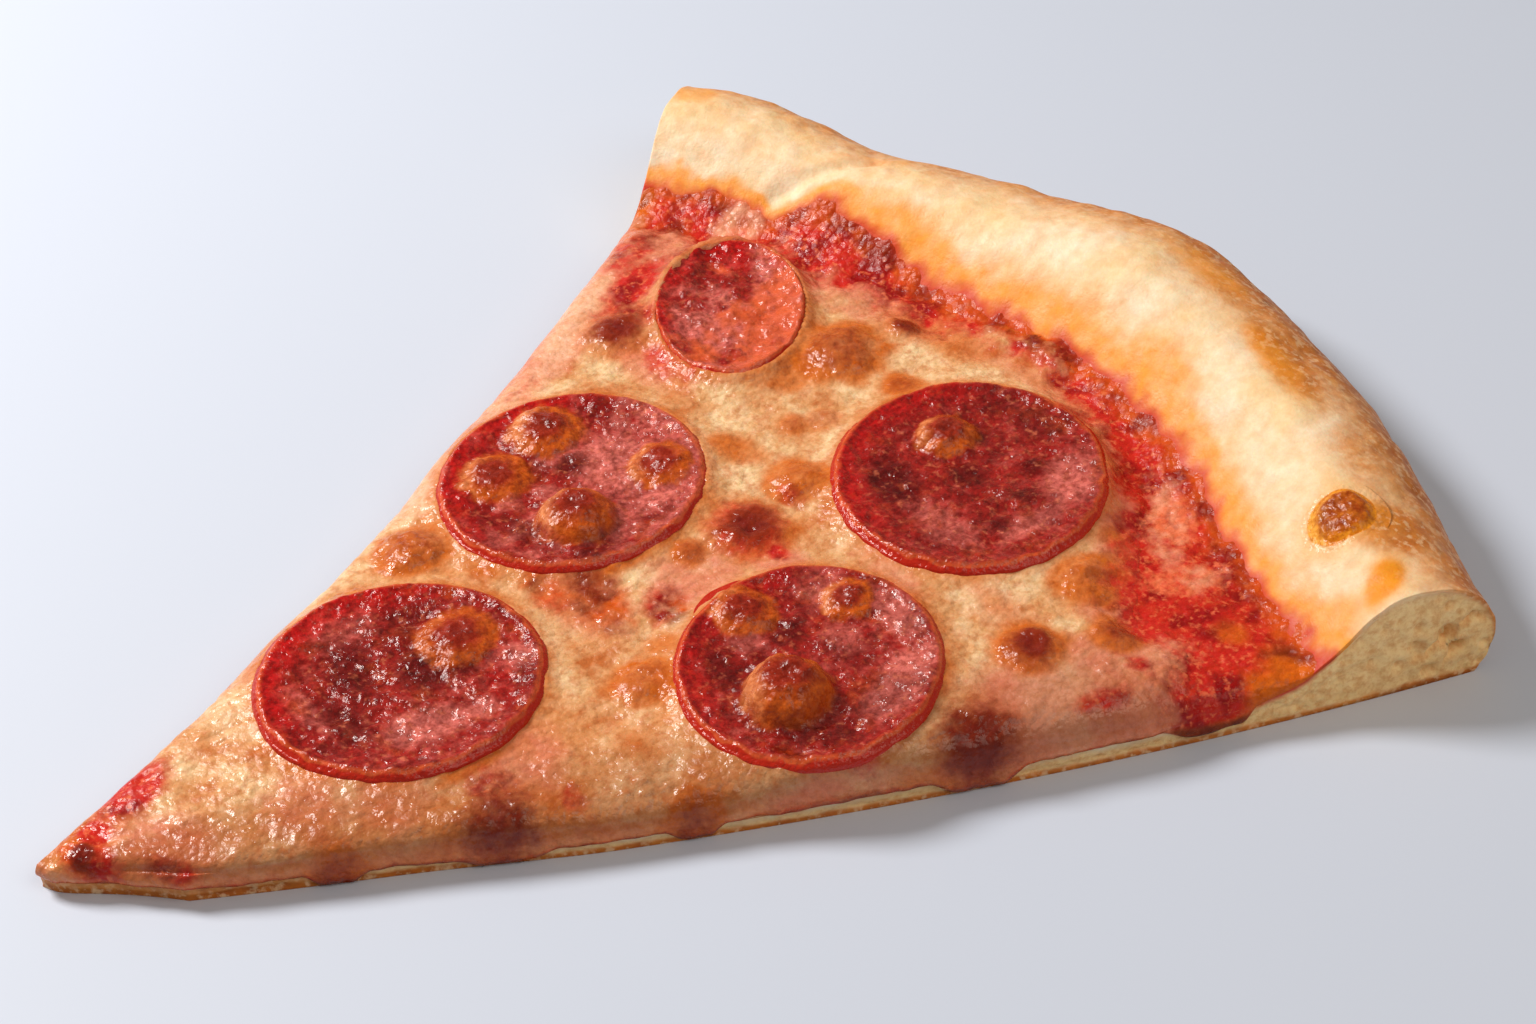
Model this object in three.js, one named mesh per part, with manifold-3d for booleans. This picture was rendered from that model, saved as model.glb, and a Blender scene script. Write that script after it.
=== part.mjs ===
// One slice of a large thin pizza with pepperoni: dough with a puffed rim, tomato sauce, baked
// cheese, five slices of pepperoni and the cheese bubbles that rose on them.
// Millimetres. The slice lies on z = 0, +Y runs from the tip to the rim, +X is the longer cut side.
// Shapes are worked out round the centre of the whole pizza, in polar form: a radius r, and a
// place across the slice, u, from -1 at the left cut to 1 at the right cut.
import * as THREE from 'three';
import { mergeVertices } from 'three/addons/utils/BufferGeometryUtils.js';
import Module from 'manifold-3d';

const { lerp, smoothstep, degToRad, clamp } = THREE.MathUtils;
const wasm = await Module();
wasm.setup();

// Driving dimensions
const pizzaCentre = { x: -3.1, y: -106.5 }; // of the whole pizza, in the part's own frame
const gap = 0.3; // kept between pieces that touch

// Each cut stands off the middle line by halfAngle, a little less near the tip. Both cuts sway
// towards +X in the middle of the slice, and the tip is blunt and slanted.
const cut = { halfAngle: degToRad(26.2), atTip: degToRad(25.2), narrowUntil: 45, fullFrom: 75 };
const sway = { depth: 9, middle: 103, reach: 95.5 };
const tip = { left: 7.4, right: 21.8, slant: 3.2 };

// The dough is rolled thin at the tip and thicker towards the rim.
const dough = { tip: 2.4, thin: 3.2, thick: 5.7, thinFrom: 45, thinUntil: 60, thickFrom: 155 };

// The rim: how far out it reaches and how high it stands at its ends, and the swelling between.
const rim = { foot: 164, ends: 197, crown: 17.2, side: 0.33, tuck: 2.6, crest: 0.56 };
const swelling = { at: 0.1, left: 0.36, right: 0.58, reach: 10.4, height: 3.4 };
const endLump = { at: -0.9, spread: 0.22, reach: 2.8, height: 1.6 };
const pinch = { at: -0.58, spread: 0.12, reach: -0.6, height: -0.8 };
const rightEnd = { from: 0.75, reach: -1.8 };

// The sauce is deeper where no cheese covers it. A tongue of it climbs the rim near the pinch, and
// it ends lower at the right cut.
const sauce = { depth: 0.9, outside: 1.3, thinnest: 0.3, edge: 173.6, taper: 5 };
const tongue = { at: -0.56, spread: 0.16, reach: 4 };
const sauceRightEnd = { from: 0.6, reach: -1.6 };

// The cheese ends earlier towards the right cut, and rounds off at both cuts.
const cheese = { depth: 2.3, tip: 1.5, edge: 166, taper: 7, rounding: 3.2, overhang: 0.5 };
const cheeseRightEnd = { from: 0.35, until: 0.8, edge: 150 };
const cheeseThinnest = { atCut: 0.35, atEdge: 0.25 }; // parts of its depth
const lumps = { broad: 0.3, broadX: 5.1, broadY: 6.3, fine: 0.2, fineX: 2.9, fineY: 3.7 };

// Uneven edges: height of the wave, how fast it turns along u, and its shift
const waves = {
  rimOutside: { height: 0.5, turns: 14, shift: 0 },
  rimCrown: { height: 0.35, turns: 11, shift: 0.6 },
  cheeseEdge: { height: 1.2, turns: 9, shift: 0 },
  sauceEdge: { height: 0.8, turns: 7, shift: 0.3 },
};

// Gaps are measured upright, so they widen where the layers climb the rim: by these factors.
const slopeGap = { sauce: 1.7, from: -2, until: 5, cheese: 1.5 };

// Slices of pepperoni: across and along are the full widths of an oval turned by ovalTurn.
const ovalTurn = degToRad(53);
const pepperoniThickness = 1.9;
const pepperoniCup = 0.9; // how far the edge of a slice curls up
const curlFrom = 0.55; // part of its radius where the curl begins
const pepperonis = [
  { x: 1.9, y: 59.6, across: 38.5, along: 37.5 },
  { x: -16.2, y: 101.1, across: 39, along: 38.3 },
  { x: -33.0, y: 143.5, across: 23.2, along: 34.6 },
  { x: 22.0, y: 143.4, across: 39, along: 41.8 },
  { x: 36.8, y: 101.6, across: 36, along: 38 },
];
const pepperoniSink = 1.0; // how deep a slice has settled into the cheese
const tiltReach = 15; // either side of its middle, where the slope that it lies on is taken
const seatDepth = 30; // of the cut that clears the cheese above a disc

// Bubbles of cheese on the pepperoni: which disc carries it, where, how wide and how high.
const bubbles = [
  { on: 0, x: 0.7, y: 69.3, radius: 5.7, height: 1.9 },
  { on: 1, x: -8.4, y: 96.0, radius: 5.9, height: 4.4 },
  { on: 1, x: -27.2, y: 104.2, radius: 5.6, height: 2.7 },
  { on: 1, x: -23.9, y: 92.8, radius: 5.5, height: 2.1 },
  { on: 1, x: -9.8, y: 111.9, radius: 4.8, height: 1.9 },
  { on: 3, x: 13.5, y: 146.4, radius: 4.7, height: 2.7 },
  { on: 4, x: 40.0, y: 95.1, radius: 6.2, height: 6.0 },
  { on: 4, x: 23.4, y: 101.0, radius: 4.6, height: 2.1 },
  { on: 4, x: 31.0, y: 113.0, radius: 3.8, height: 1.7 },
];
const rimBubble = { x: 68.5, y: 169.1, radius: 4.4, height: 1.6 };
const bubbleFoot = 1.2; // how far a bubble reaches down before what carries it trims it
const bubbleShoulder = 0.12; // part of its height that stands straight up
const trimSpread = 1.05; // the disc that trims a bubble, over the disc that carries it

// Blisters in the cheese itself. Each fades from its flat top, blisterTop, to its foot, parts of
// its radius.
const blisters = [
  { x: -13.4, y: 148.9, radius: 6.9, height: 2.2 },
  { x: -11.6, y: 160.9, radius: 3.4, height: 1.2 },
  { x: 5.8, y: 125.0, radius: 4.6, height: 1.5 },
  { x: 9.1, y: 113.5, radius: 6.2, height: 1.5 },
  { x: -40.6, y: 127.3, radius: 5.4, height: 1.6 },
  { x: -19.9, y: 75.7, radius: 5.6, height: 1.8 },
  { x: 24.0, y: 83.6, radius: 4.6, height: 1.1 },
  { x: 54.2, y: 125.6, radius: 4.8, height: 1.5 },
  { x: 49.5, y: 141.0, radius: 5.2, height: 1.2 },
  { x: 32.2, y: 54.2, radius: 6.0, height: 0.8 },
  { x: 61.3, y: 109.4, radius: 6.4, height: 0.7 },
];
const blisterTop = 0.25;
const blisterFoot = 1.3;

// How finely each solid is faceted
const acrossSteps = 16;
const flatSteps = 14; // from the tip to the foot of the rim
const cheeseFlatSteps = 28;
const slopeSteps = 7; // up the inside of the rim
const roundSteps = 6; // over the rim and down its outside
const discSides = 24;
const discRings = [0.5, 0.8, 0.975];
const bubbleSides = 14;
const bubbleRings = [1, 0.95, 0.8, 0.5];
const crowding = 1.5; // how much closer together the steps across lie near the two cuts
const slopeReach = 14; // inwards from a layer's edge, where its finer steps begin

// The slice in plan

function swayAt(y) {
  return sway.depth * (1 - ((y - sway.middle) / sway.reach) ** 2);
}

function halfAngleAt(r) {
  return lerp(cut.atTip, cut.halfAngle, smoothstep(r, cut.narrowUntil, cut.fullFrom));
}

function inPlan(u, r) {
  const angle = u * halfAngleAt(r);
  const y = r * Math.cos(angle);
  return { x: r * Math.sin(angle) + swayAt(y), y };
}

function polarOf(x, y) {
  const r = Math.hypot(x - swayAt(y), y);
  return { r, u: Math.atan2(x - swayAt(y), y) / halfAngleAt(r) };
}

function tipRadius(u) {
  return lerp(tip.left, tip.right, ((u + 1) / 2) ** tip.slant);
}

// A bell curve of height 1
function bell(u, middle, spread) {
  return Math.exp(-(((u - middle) / spread) ** 2));
}

function wave(u, { height, turns, shift }) {
  return height * Math.sin(turns * u + shift);
}

function swell(u) {
  return bell(u, swelling.at, u < swelling.at ? swelling.left : swelling.right);
}

// The rim is uneven: it swells in the middle, pinches near its left end and swells again there.
function rimOutside(u) {
  const left = endLump.reach * bell(u, endLump.at, endLump.spread);
  const pinched = pinch.reach * bell(u, pinch.at, pinch.spread);
  const right = rightEnd.reach * smoothstep(u, rightEnd.from, 1);
  const uneven = wave(u, waves.rimOutside);
  return rim.ends + uneven + swelling.reach * swell(u) + left + pinched + right;
}

function rimCrown(u) {
  const left = endLump.height * bell(u, endLump.at, endLump.spread);
  const pinched = pinch.height * bell(u, pinch.at, pinch.spread);
  return rim.crown + wave(u, waves.rimCrown) + swelling.height * swell(u) + left + pinched;
}

function rimCrest(u) {
  return lerp(rim.foot, rimOutside(u), rim.crest);
}

// Heights of the layers

function doughHeight(r) {
  const rolled = lerp(dough.tip, dough.thin, smoothstep(r, 0, dough.thinFrom));
  return lerp(rolled, dough.thick, smoothstep(r, dough.thinUntil, dough.thickFrom));
}

function crustHeight(u, r) {
  const flat = doughHeight(r);
  return flat + (rimCrown(u) - flat) * smoothstep(r, rim.foot, rimCrest(u));
}

function cheeseEdge(u) {
  const right = smoothstep(u, cheeseRightEnd.from, cheeseRightEnd.until);
  return lerp(cheese.edge, cheeseRightEnd.edge, right) + wave(u, waves.cheeseEdge);
}

function sauceEdge(u) {
  const climb = tongue.reach * bell(u, tongue.at, tongue.spread);
  const right = sauceRightEnd.reach * smoothstep(u, sauceRightEnd.from, 1);
  return sauce.edge + climb + wave(u, waves.sauceEdge) + right;
}

// The underside of the sauce
function sauceBed(u, r) {
  const slope = smoothstep(r, rim.foot + slopeGap.from, rim.foot + slopeGap.until);
  return crustHeight(u, r) + gap * lerp(1, slopeGap.sauce, slope);
}

// 0 under the full cheese, 1 where the cheese has ended
function bareness(u, r) {
  return smoothstep(r, cheeseEdge(u) - cheese.taper, cheeseEdge(u));
}

function sauceTop(u, r) {
  const inside = smoothstep(sauceEdge(u) - r, 0, sauce.taper);
  const depth = lerp(sauce.depth, sauce.outside, bareness(u, r));
  return sauceBed(u, r) + depth * lerp(sauce.thinnest, 1, inside);
}

// The cheese before its own relief, thinner at the tip
function cheeseDepth(r) {
  return lerp(cheese.tip, cheese.depth, smoothstep(r, 0, dough.thinFrom));
}

function blisterHeight(x, y, spot) {
  const away = Math.hypot(x - spot.x, y - spot.y) / spot.radius;
  return spot.height * (1 - smoothstep(away, blisterTop, blisterFoot));
}

// The underside of the cheese
function cheeseBed(u, r) {
  return sauceTop(u, r) + gap * lerp(1, slopeGap.cheese, bareness(u, r));
}

function cheeseTop(u, r) {
  const { x, y } = inPlan(u, r);
  const outer = smoothstep(cheeseEdge(u) - r, 0, cheese.taper);
  const fromCut = r * halfAngleAt(r) * (1 - Math.abs(u));
  const toEdge = 1 - clamp(fromCut / cheese.rounding, 0, 1);
  const rounded = lerp(cheeseThinnest.atCut, 1, Math.sqrt(1 - toEdge ** 2));
  const broad = lumps.broad * Math.sin(x / lumps.broadX + 1) * Math.sin(y / lumps.broadY);
  const fine = lumps.fine * Math.sin(x / lumps.fineX + y / lumps.fineY);
  const relief = blisters.reduce((sum, spot) => sum + blisterHeight(x, y, spot), broad + fine);
  const depth = (cheeseDepth(r) + relief) * lerp(cheeseThinnest.atEdge, 1, outer) * rounded;
  return cheeseBed(u, r) + depth;
}

// Solids

// A closed block of cells, bent to shape: place gives a point for u across (-1 to 1), i, the
// number of steps from the tip, and w upwards (0 to 1).
function bentBlock(across, along, up, place) {
  const box = new THREE.BoxGeometry(2, along, 1, across, along, up);
  box.translate(0, along / 2, 0.5);
  box.deleteAttribute('normal');
  box.deleteAttribute('uv');
  const block = mergeVertices(box, 1e-5);
  const points = block.attributes.position;
  for (let n = 0; n < points.count; n += 1) {
    const p = place(points.getX(n), Math.round(points.getY(n)), points.getZ(n));
    points.setXYZ(n, p.x, p.y, p.z);
  }
  return block;
}

function towardsCuts(t) {
  return Math.sign(t) * (1 - (1 - Math.abs(t)) ** crowding);
}

function crustPoint(t, i, w) {
  const u = towardsCuts(t);
  const outside = rimOutside(u);
  const crest = rimCrest(u);
  const sideHeight = rim.side * rimCrown(u);
  const onRim = i - flatSteps;
  let r = lerp(tipRadius(u), rim.foot, i / flatSteps);
  if (onRim > 0) r = lerp(rim.foot, crest, onRim / slopeSteps);
  let z = crustHeight(u, r);
  if (onRim > slopeSteps) {
    const turn = (Math.PI / 2) * ((onRim - slopeSteps) / roundSteps);
    r = lerp(crest, outside, Math.sin(turn));
    z = lerp(sideHeight, rimCrown(u), Math.cos(turn));
  }
  const under = r - rim.tuck * smoothstep(r, crest, outside);
  const point = inPlan(u, lerp(under, r, 1 - (1 - w) ** 2));
  return { x: point.x, y: point.y, z: z * w };
}

// Steps along a layer: evenly to the foot of the rim, then finer to the layer's own edge.
function layerRadius(u, i, flat, edge) {
  const start = tipRadius(u);
  const bend = edge - slopeReach;
  if (i <= flat) return lerp(start, bend, i / flat);
  return lerp(bend, edge, (i - flat) / slopeSteps);
}

function saucePoint(t, i, w) {
  const u = towardsCuts(t);
  const r = layerRadius(u, i, flatSteps, sauceEdge(u));
  const point = inPlan(u, r);
  return { x: point.x, y: point.y, z: lerp(sauceBed(u, r), sauceTop(u, r), w) };
}

function cheesePoint(t, i, w) {
  const u = towardsCuts(t);
  const r = layerRadius(u, i, cheeseFlatSteps, cheeseEdge(u));
  const point = inPlan(u, r);
  const bulge = cheese.overhang * 4 * w * (1 - w);
  if (Math.abs(t) === 1) point.x += Math.sign(t) * bulge;
  if (i === 0) point.y -= bulge;
  return { x: point.x, y: point.y, z: lerp(cheeseBed(u, r), cheeseTop(u, r), w) };
}

// Moves a piece made round the origin onto the bed of a pepperoni slice, lift above it.
function settle(geometry, disc, lift) {
  const { u, r } = polarOf(disc.x, disc.y);
  const bed = cheeseBed(u, r) + cheeseDepth(r) - pepperoniSink;
  const climb = doughHeight(r + tiltReach) - doughHeight(r - tiltReach);
  const tilt = Math.atan2(climb, 2 * tiltReach);
  return geometry.rotateX(tilt).translate(disc.x, disc.y, bed + lift);
}

function oval(geometry, disc) {
  return geometry.scale(disc.across / 2, disc.along / 2, 1).rotateZ(ovalTurn);
}

// How far a disc of radius 1 has curled up at rho from its middle
function curl(rho) {
  return pepperoniCup * smoothstep(rho, curlFrom, 1);
}

// Points of a curled face whose middle lies at the height given, spread a little in plan
function curledRings(height, spread) {
  return discRings.map((rho) => [rho * spread, height + curl(rho)]);
}

function turned(profile, sides) {
  const points = profile.map(([rho, z]) => new THREE.Vector2(rho, z));
  return standing(new THREE.LatheGeometry(points, sides));
}

function cuppedDisc(bottom, top, spread) {
  const under = curledRings(bottom, spread);
  const over = curledRings(top, spread).toReversed();
  const edge = [spread, (bottom + top) / 2 + curl(1)];
  return turned([[0, bottom], ...under, edge, ...over, [0, top]], discSides);
}

// The hollow that a disc presses into the cheese, open upwards
function discSeat(spread) {
  const under = curledRings(-gap, spread);
  const wall = [spread, curl(discRings.at(-1)) - gap];
  return turned([[0, -gap], ...under, wall, [spread, seatDepth], [0, seatDepth]], discSides);
}

// Lathes turn about Y: this stands the axis up along Z.
function standing(lathe) {
  return lathe.rotateX(Math.PI / 2);
}

// A rounded dome whose foot reaches down for what carries it to trim
function bubble(spot) {
  const shoulder = bubbleShoulder * spot.height;
  const rise = (rho) => shoulder + (spot.height - shoulder) * Math.sqrt(1 - rho ** 2);
  const dome = bubbleRings.map((rho) => [rho, rise(rho)]);
  const profile = [[0, -bubbleFoot], [1, -bubbleFoot], ...dome, [0, spot.height]];
  return turned(profile.map(([rho, z]) => [rho * spot.radius, z]), bubbleSides);
}

function solidOf(geometry) {
  const bare = geometry.clone();
  bare.deleteAttribute('normal');
  bare.deleteAttribute('uv');
  const merged = mergeVertices(bare, 1e-4);
  return new wasm.Manifold(
    new wasm.Mesh({
      numProp: 3,
      vertProperties: Float32Array.from(merged.attributes.position.array),
      triVerts: Uint32Array.from(merged.index.array),
    }),
  );
}

function geometryOf(solid) {
  const mesh = solid.getMesh();
  const geometry = new THREE.BufferGeometry();
  geometry.setAttribute('position', new THREE.BufferAttribute(mesh.vertProperties, 3));
  geometry.setIndex(new THREE.BufferAttribute(mesh.triVerts, 1));
  return geometry;
}

// Assembly

const materials = {
  crust: new THREE.MeshStandardMaterial({ color: 0xe6c48c, roughness: 0.8 }),
  sauce: new THREE.MeshStandardMaterial({ color: 0xb0331d, roughness: 0.45 }),
  cheese: new THREE.MeshStandardMaterial({ color: 0xe2b070, roughness: 0.4 }),
  pepperoni: new THREE.MeshStandardMaterial({ color: 0x8e2420, roughness: 0.35 }),
  bubble: new THREE.MeshStandardMaterial({ color: 0xa5502a, roughness: 0.35 }),
};

const slice = new THREE.Group();

function addPiece(name, geometry, material) {
  const mesh = new THREE.Mesh(geometry, material);
  mesh.name = name;
  slice.add(mesh);
}

const crustSteps = flatSteps + slopeSteps + roundSteps;
const crust = bentBlock(acrossSteps, crustSteps, 3, crustPoint);
addPiece('crust', crust, materials.crust);
addPiece('sauce', bentBlock(acrossSteps, flatSteps + slopeSteps, 1, saucePoint), materials.sauce);

const cheeseSteps = cheeseFlatSteps + slopeSteps;
let cheeseSolid = solidOf(bentBlock(acrossSteps, cheeseSteps, 2, cheesePoint));
for (const disc of pepperonis) {
  const seat = settle(oval(discSeat(1 + (2 * gap) / disc.across), disc), disc, 0);
  cheeseSolid = cheeseSolid.subtract(solidOf(seat));
}
addPiece('cheese', geometryOf(cheeseSolid), materials.cheese);

pepperonis.forEach((disc, n) => {
  const body = settle(oval(cuppedDisc(0, pepperoniThickness, 1), disc), disc, 0);
  addPiece(`pepperoni_${n + 1}`, body, materials.pepperoni);
});

bubbles.forEach((spot, n) => {
  const disc = pepperonis[spot.on];
  const dome = bubble(spot).translate(spot.x - disc.x, spot.y - disc.y, 0);
  const body = settle(dome, disc, pepperoniThickness + gap);
  const trim = oval(cuppedDisc(-bubbleFoot, pepperoniThickness + gap, trimSpread), disc);
  const trimmed = solidOf(body).subtract(solidOf(settle(trim, disc, 0)));
  addPiece(`cheese_bubble_${n + 1}`, geometryOf(trimmed), materials.bubble);
});

const onRim = polarOf(rimBubble.x, rimBubble.y);
const rimDome = bubble(rimBubble).translate(rimBubble.x, rimBubble.y, crustHeight(onRim.u, onRim.r));
const raisedCrust = crust.clone().translate(0, 0, gap);
const trimmedDome = solidOf(rimDome).subtract(solidOf(raisedCrust));
addPiece('rim_bubble', geometryOf(trimmedDome), materials.bubble);

slice.position.set(pizzaCentre.x, pizzaCentre.y, 0);

export default slice;
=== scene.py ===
import bmesh
import bpy
import math
from mathutils import Matrix, Vector, noise


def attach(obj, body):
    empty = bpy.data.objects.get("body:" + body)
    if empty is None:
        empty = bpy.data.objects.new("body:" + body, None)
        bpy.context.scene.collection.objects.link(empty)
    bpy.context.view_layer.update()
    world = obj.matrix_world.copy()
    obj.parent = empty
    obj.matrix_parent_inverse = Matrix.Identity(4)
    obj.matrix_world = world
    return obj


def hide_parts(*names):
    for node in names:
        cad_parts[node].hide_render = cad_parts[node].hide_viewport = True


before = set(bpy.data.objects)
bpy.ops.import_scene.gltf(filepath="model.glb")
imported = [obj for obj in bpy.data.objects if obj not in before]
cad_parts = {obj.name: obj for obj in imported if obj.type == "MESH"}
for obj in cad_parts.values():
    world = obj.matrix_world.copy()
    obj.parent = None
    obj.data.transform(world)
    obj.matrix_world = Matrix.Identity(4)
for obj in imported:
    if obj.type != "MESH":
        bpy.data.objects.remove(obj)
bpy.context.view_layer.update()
mm = 0.001

# Shapes are worked out in millimetres round the centre of the whole pizza, +Y along the slice.
# A place on the slice is r, how far from that centre, and u, from -1 at the left cut to 1 at the right.


def mix(a, b, t):
    return a + (b - a) * t


def ramp(value, start, end):  # eases from 0 at start to 1 at end
    t = min(max((value - start) / (end - start), 0), 1)
    return t * t * (3 - 2 * t)


def bell(value, middle, spread):
    return math.exp(-(((value - middle) / spread) ** 2))


def grain(x, y, z, size, octaves=2):  # soft noise, about -1 to 1, whose lumps are size wide
    return noise.fractal(Vector((x, y, z)) / size, 1.0, 2.0, octaves)


def cells(x, y, z, size):  # distance to the nearest of scattered points that are size apart
    return noise.voronoi(Vector((x, y, z)) / size)[0][0]


def pebbles(x, y, z, size):  # rounded bumps, 0 to 1, that are size apart
    return bell(cells(x, y, z, size), 0, 0.42)


def rowsOf(labels, *rows):  # a dictionary for each row
    return [dict(zip(labels.split(), row)) for row in rows]


# The slice in plan: two cuts that sway to the right together, and a blunt, slanted tip

plan = {
    "centreX": -3.1, "centreY": -106.5,
    "halfAngle": math.radians(26.2), "tipAngle": math.radians(25.2), "narrowUntil": 45, "fullFrom": 75,
    "sway": 9, "swayMiddle": 103, "swayReach": 95.5,
    "tipLeft": 7.4, "tipRight": 21.8, "tipSlant": 3.2, "crowding": 1.2,
}


def swayAt(y):
    return plan["sway"] * (1 - ((y - plan["swayMiddle"]) / plan["swayReach"]) ** 2)


def halfAngleAt(r):
    return mix(plan["tipAngle"], plan["halfAngle"], ramp(r, plan["narrowUntil"], plan["fullFrom"]))


def inPlan(u, r):
    angle = u * halfAngleAt(r)
    y = r * math.cos(angle)
    return r * math.sin(angle) + swayAt(y), y


def polar(x, y):
    away = x - swayAt(y)
    r = math.hypot(away, y)
    return math.atan2(away, y) / halfAngleAt(r), r


def tipRadius(u):
    return mix(plan["tipLeft"], plan["tipRight"], ((u + 1) / 2) ** plan["tipSlant"])


def towardsCuts(t):  # lines across lie a little closer together at the two cuts
    return math.copysign(1 - (1 - min(abs(t), 1)) ** plan["crowding"], t)


# Heights of the layers

dough = {
    "tip": 2.4, "thin": 3.2, "thick": 5.7, "thinFrom": 45, "thinUntil": 60, "thickFrom": 155,
    "bend": 0.42, "bendTip": 0.15, "bendReach": 5.5,
    "bendFrom": 35, "bendFull": 95, "bendFades": 156, "bendEnds": 166,
}
rim = {
    "foot": 164, "ends": 197, "crown": 17.2, "side": 0.33, "tuck": 2.6, "crest": 0.56,
    "wavesOut": (0.5, 14, 0), "wavesUp": (0.35, 11, 0.6),
    "swellAt": 0.1, "swellLeft": 0.36, "swellRight": 0.58, "swellReach": 10.4, "swellHeight": 3.4,
    "lumpAt": -0.9, "lumpSpread": 0.22, "lumpReach": 2.8, "lumpHeight": 1.6,
    "pinchAt": -0.58, "pinchSpread": 0.12, "pinchReach": -0.6, "pinchHeight": -0.8,
    "endFrom": 0.75, "endReach": -1.8,
}
sauceLayer = {
    "depth": 0.9, "outside": 1.3, "thinnest": 0.3, "taper": 5, "edge": 173.6, "waves": (0.8, 7, 0.3),
    "tongue": 4, "tongueAt": -0.56, "tongueSpread": 0.16, "rightFrom": 0.6, "rightLoss": 1.6,
    "dips": ((3.5, -0.69, 0.09), (1.2, -0.5, 0.08)), "rightDip": 3, "ragged": 1.6, "raggedSize": 5,
}
cheeseLayer = {
    "depth": 2.3, "tip": 1.5, "taper": 7, "edge": 166, "waves": (1.2, 9, 0),
    "edgeRight": 150, "rightFrom": 0.35, "rightFull": 0.8,
}
layerGap = 0.3


def wave(u, waves):  # a gentle wave from cut to cut: its height, how fast it turns and where it starts
    height, turns, start = waves
    return height * math.sin(turns * u + start)


def rimBumps(u, way):  # the swell, lump and pinch of the rim; way is Reach or Height
    spread = rim["swellLeft"] if u < rim["swellAt"] else rim["swellRight"]
    swell = rim["swell" + way] * bell(u, rim["swellAt"], spread)
    lump = rim["lump" + way] * bell(u, rim["lumpAt"], rim["lumpSpread"])
    return swell + lump + rim["pinch" + way] * bell(u, rim["pinchAt"], rim["pinchSpread"])


def rimOutside(u):
    end = rim["endReach"] * ramp(u, rim["endFrom"], 1)
    return rim["ends"] + wave(u, rim["wavesOut"]) + rimBumps(u, "Reach") + end


def rimCrown(u):
    return rim["crown"] + wave(u, rim["wavesUp"]) + rimBumps(u, "Height")


def rimCrest(u):
    return mix(rim["foot"], rimOutside(u), rim["crest"])


def doughHeight(r):
    rolled = mix(dough["tip"], dough["thin"], ramp(r, 0, dough["thinFrom"]))
    return mix(rolled, dough["thick"], ramp(r, dough["thinUntil"], dough["thickFrom"]))


def nearEdge(u, r, reach):  # 0 well inside the slice, 1 at a cut or at the tip
    toCut = 1 - min(r * halfAngleAt(r) * (1 - abs(u)) / reach, 1)
    toTip = 1 - min((r - tipRadius(u)) / reach, 1)
    return min(math.hypot(toCut, toTip), 1)


def crustHeight(u, r):  # the dough bends down a little beside the cuts and the tip
    bend = mix(dough["bendTip"], dough["bend"], ramp(r, dough["bendFrom"], dough["bendFull"]))
    bend *= ramp(r, dough["bendEnds"], dough["bendFades"])
    bend *= 1 - math.sqrt(1 - nearEdge(u, r, dough["bendReach"]) ** 2)
    return mix(doughHeight(r) * (1 - bend), rimCrown(u), ramp(r, rim["foot"], rimCrest(u)))


def cheeseEdge(u):
    right = ramp(u, cheeseLayer["rightFrom"], cheeseLayer["rightFull"])
    return mix(cheeseLayer["edge"], cheeseLayer["edgeRight"], right) + wave(u, cheeseLayer["waves"])


def sauceEdge(u):
    tongue = sauceLayer["tongue"] * bell(u, sauceLayer["tongueAt"], sauceLayer["tongueSpread"])
    loss = sauceLayer["rightLoss"] * ramp(u, sauceLayer["rightFrom"], 1)
    return sauceLayer["edge"] + tongue + wave(u, sauceLayer["waves"]) - loss


def sauceTop(u, r):
    s = sauceLayer
    bare = ramp(r, cheeseEdge(u) - cheeseLayer["taper"], cheeseEdge(u))
    thinned = ramp(sauceEdge(u) - r, 0, s["taper"])
    return crustHeight(u, r) + layerGap + mix(s["depth"], s["outside"], bare) * mix(s["thinnest"], 1, thinned)


def cheeseDepth(r):
    return mix(cheeseLayer["tip"], cheeseLayer["depth"], ramp(r, 0, dough["thinFrom"]))


def cheeseBed(u, r):
    return sauceTop(u, r) + layerGap


# Camera, floor and light

view = {
    "place": (268.3, -187.3, 275.8), "azimuth": 53, "elevation": 39, "roll": 3,
    "lens": 70.3, "sensor": 36, "nearest": 0.01,
}
studio = {
    "floor": (0.56, 0.61, 0.72), "floorRoughness": 0.55, "floorReach": 3,
    "world": (1.0, 0.95, 0.88), "worldStrength": 0.24,
}
lamps = {  # each shines from so far to the right of the view, ahead of it and up
    "key": {"from": (-0.8, 0.45, 0.85), "away": 0.8, "size": 0.26, "watts": 7.6, "colour": (1.0, 0.97, 0.93)},
    "fill": {"from": (0.6, -0.5, 1.0), "away": 1.0, "size": 0.7, "watts": 3.0, "colour": (1.0, 0.88, 0.74)},
}


def viewAxes():  # level to the right of the view, level ahead, and along it
    azimuth = math.radians(view["azimuth"])
    elevation = math.radians(view["elevation"])
    level = Vector((math.cos(azimuth), math.sin(azimuth), 0))
    ahead = Vector((-math.sin(azimuth), math.cos(azimuth), 0))
    return level, ahead, ahead * math.cos(elevation) - Vector((0, 0, math.sin(elevation)))


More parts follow.
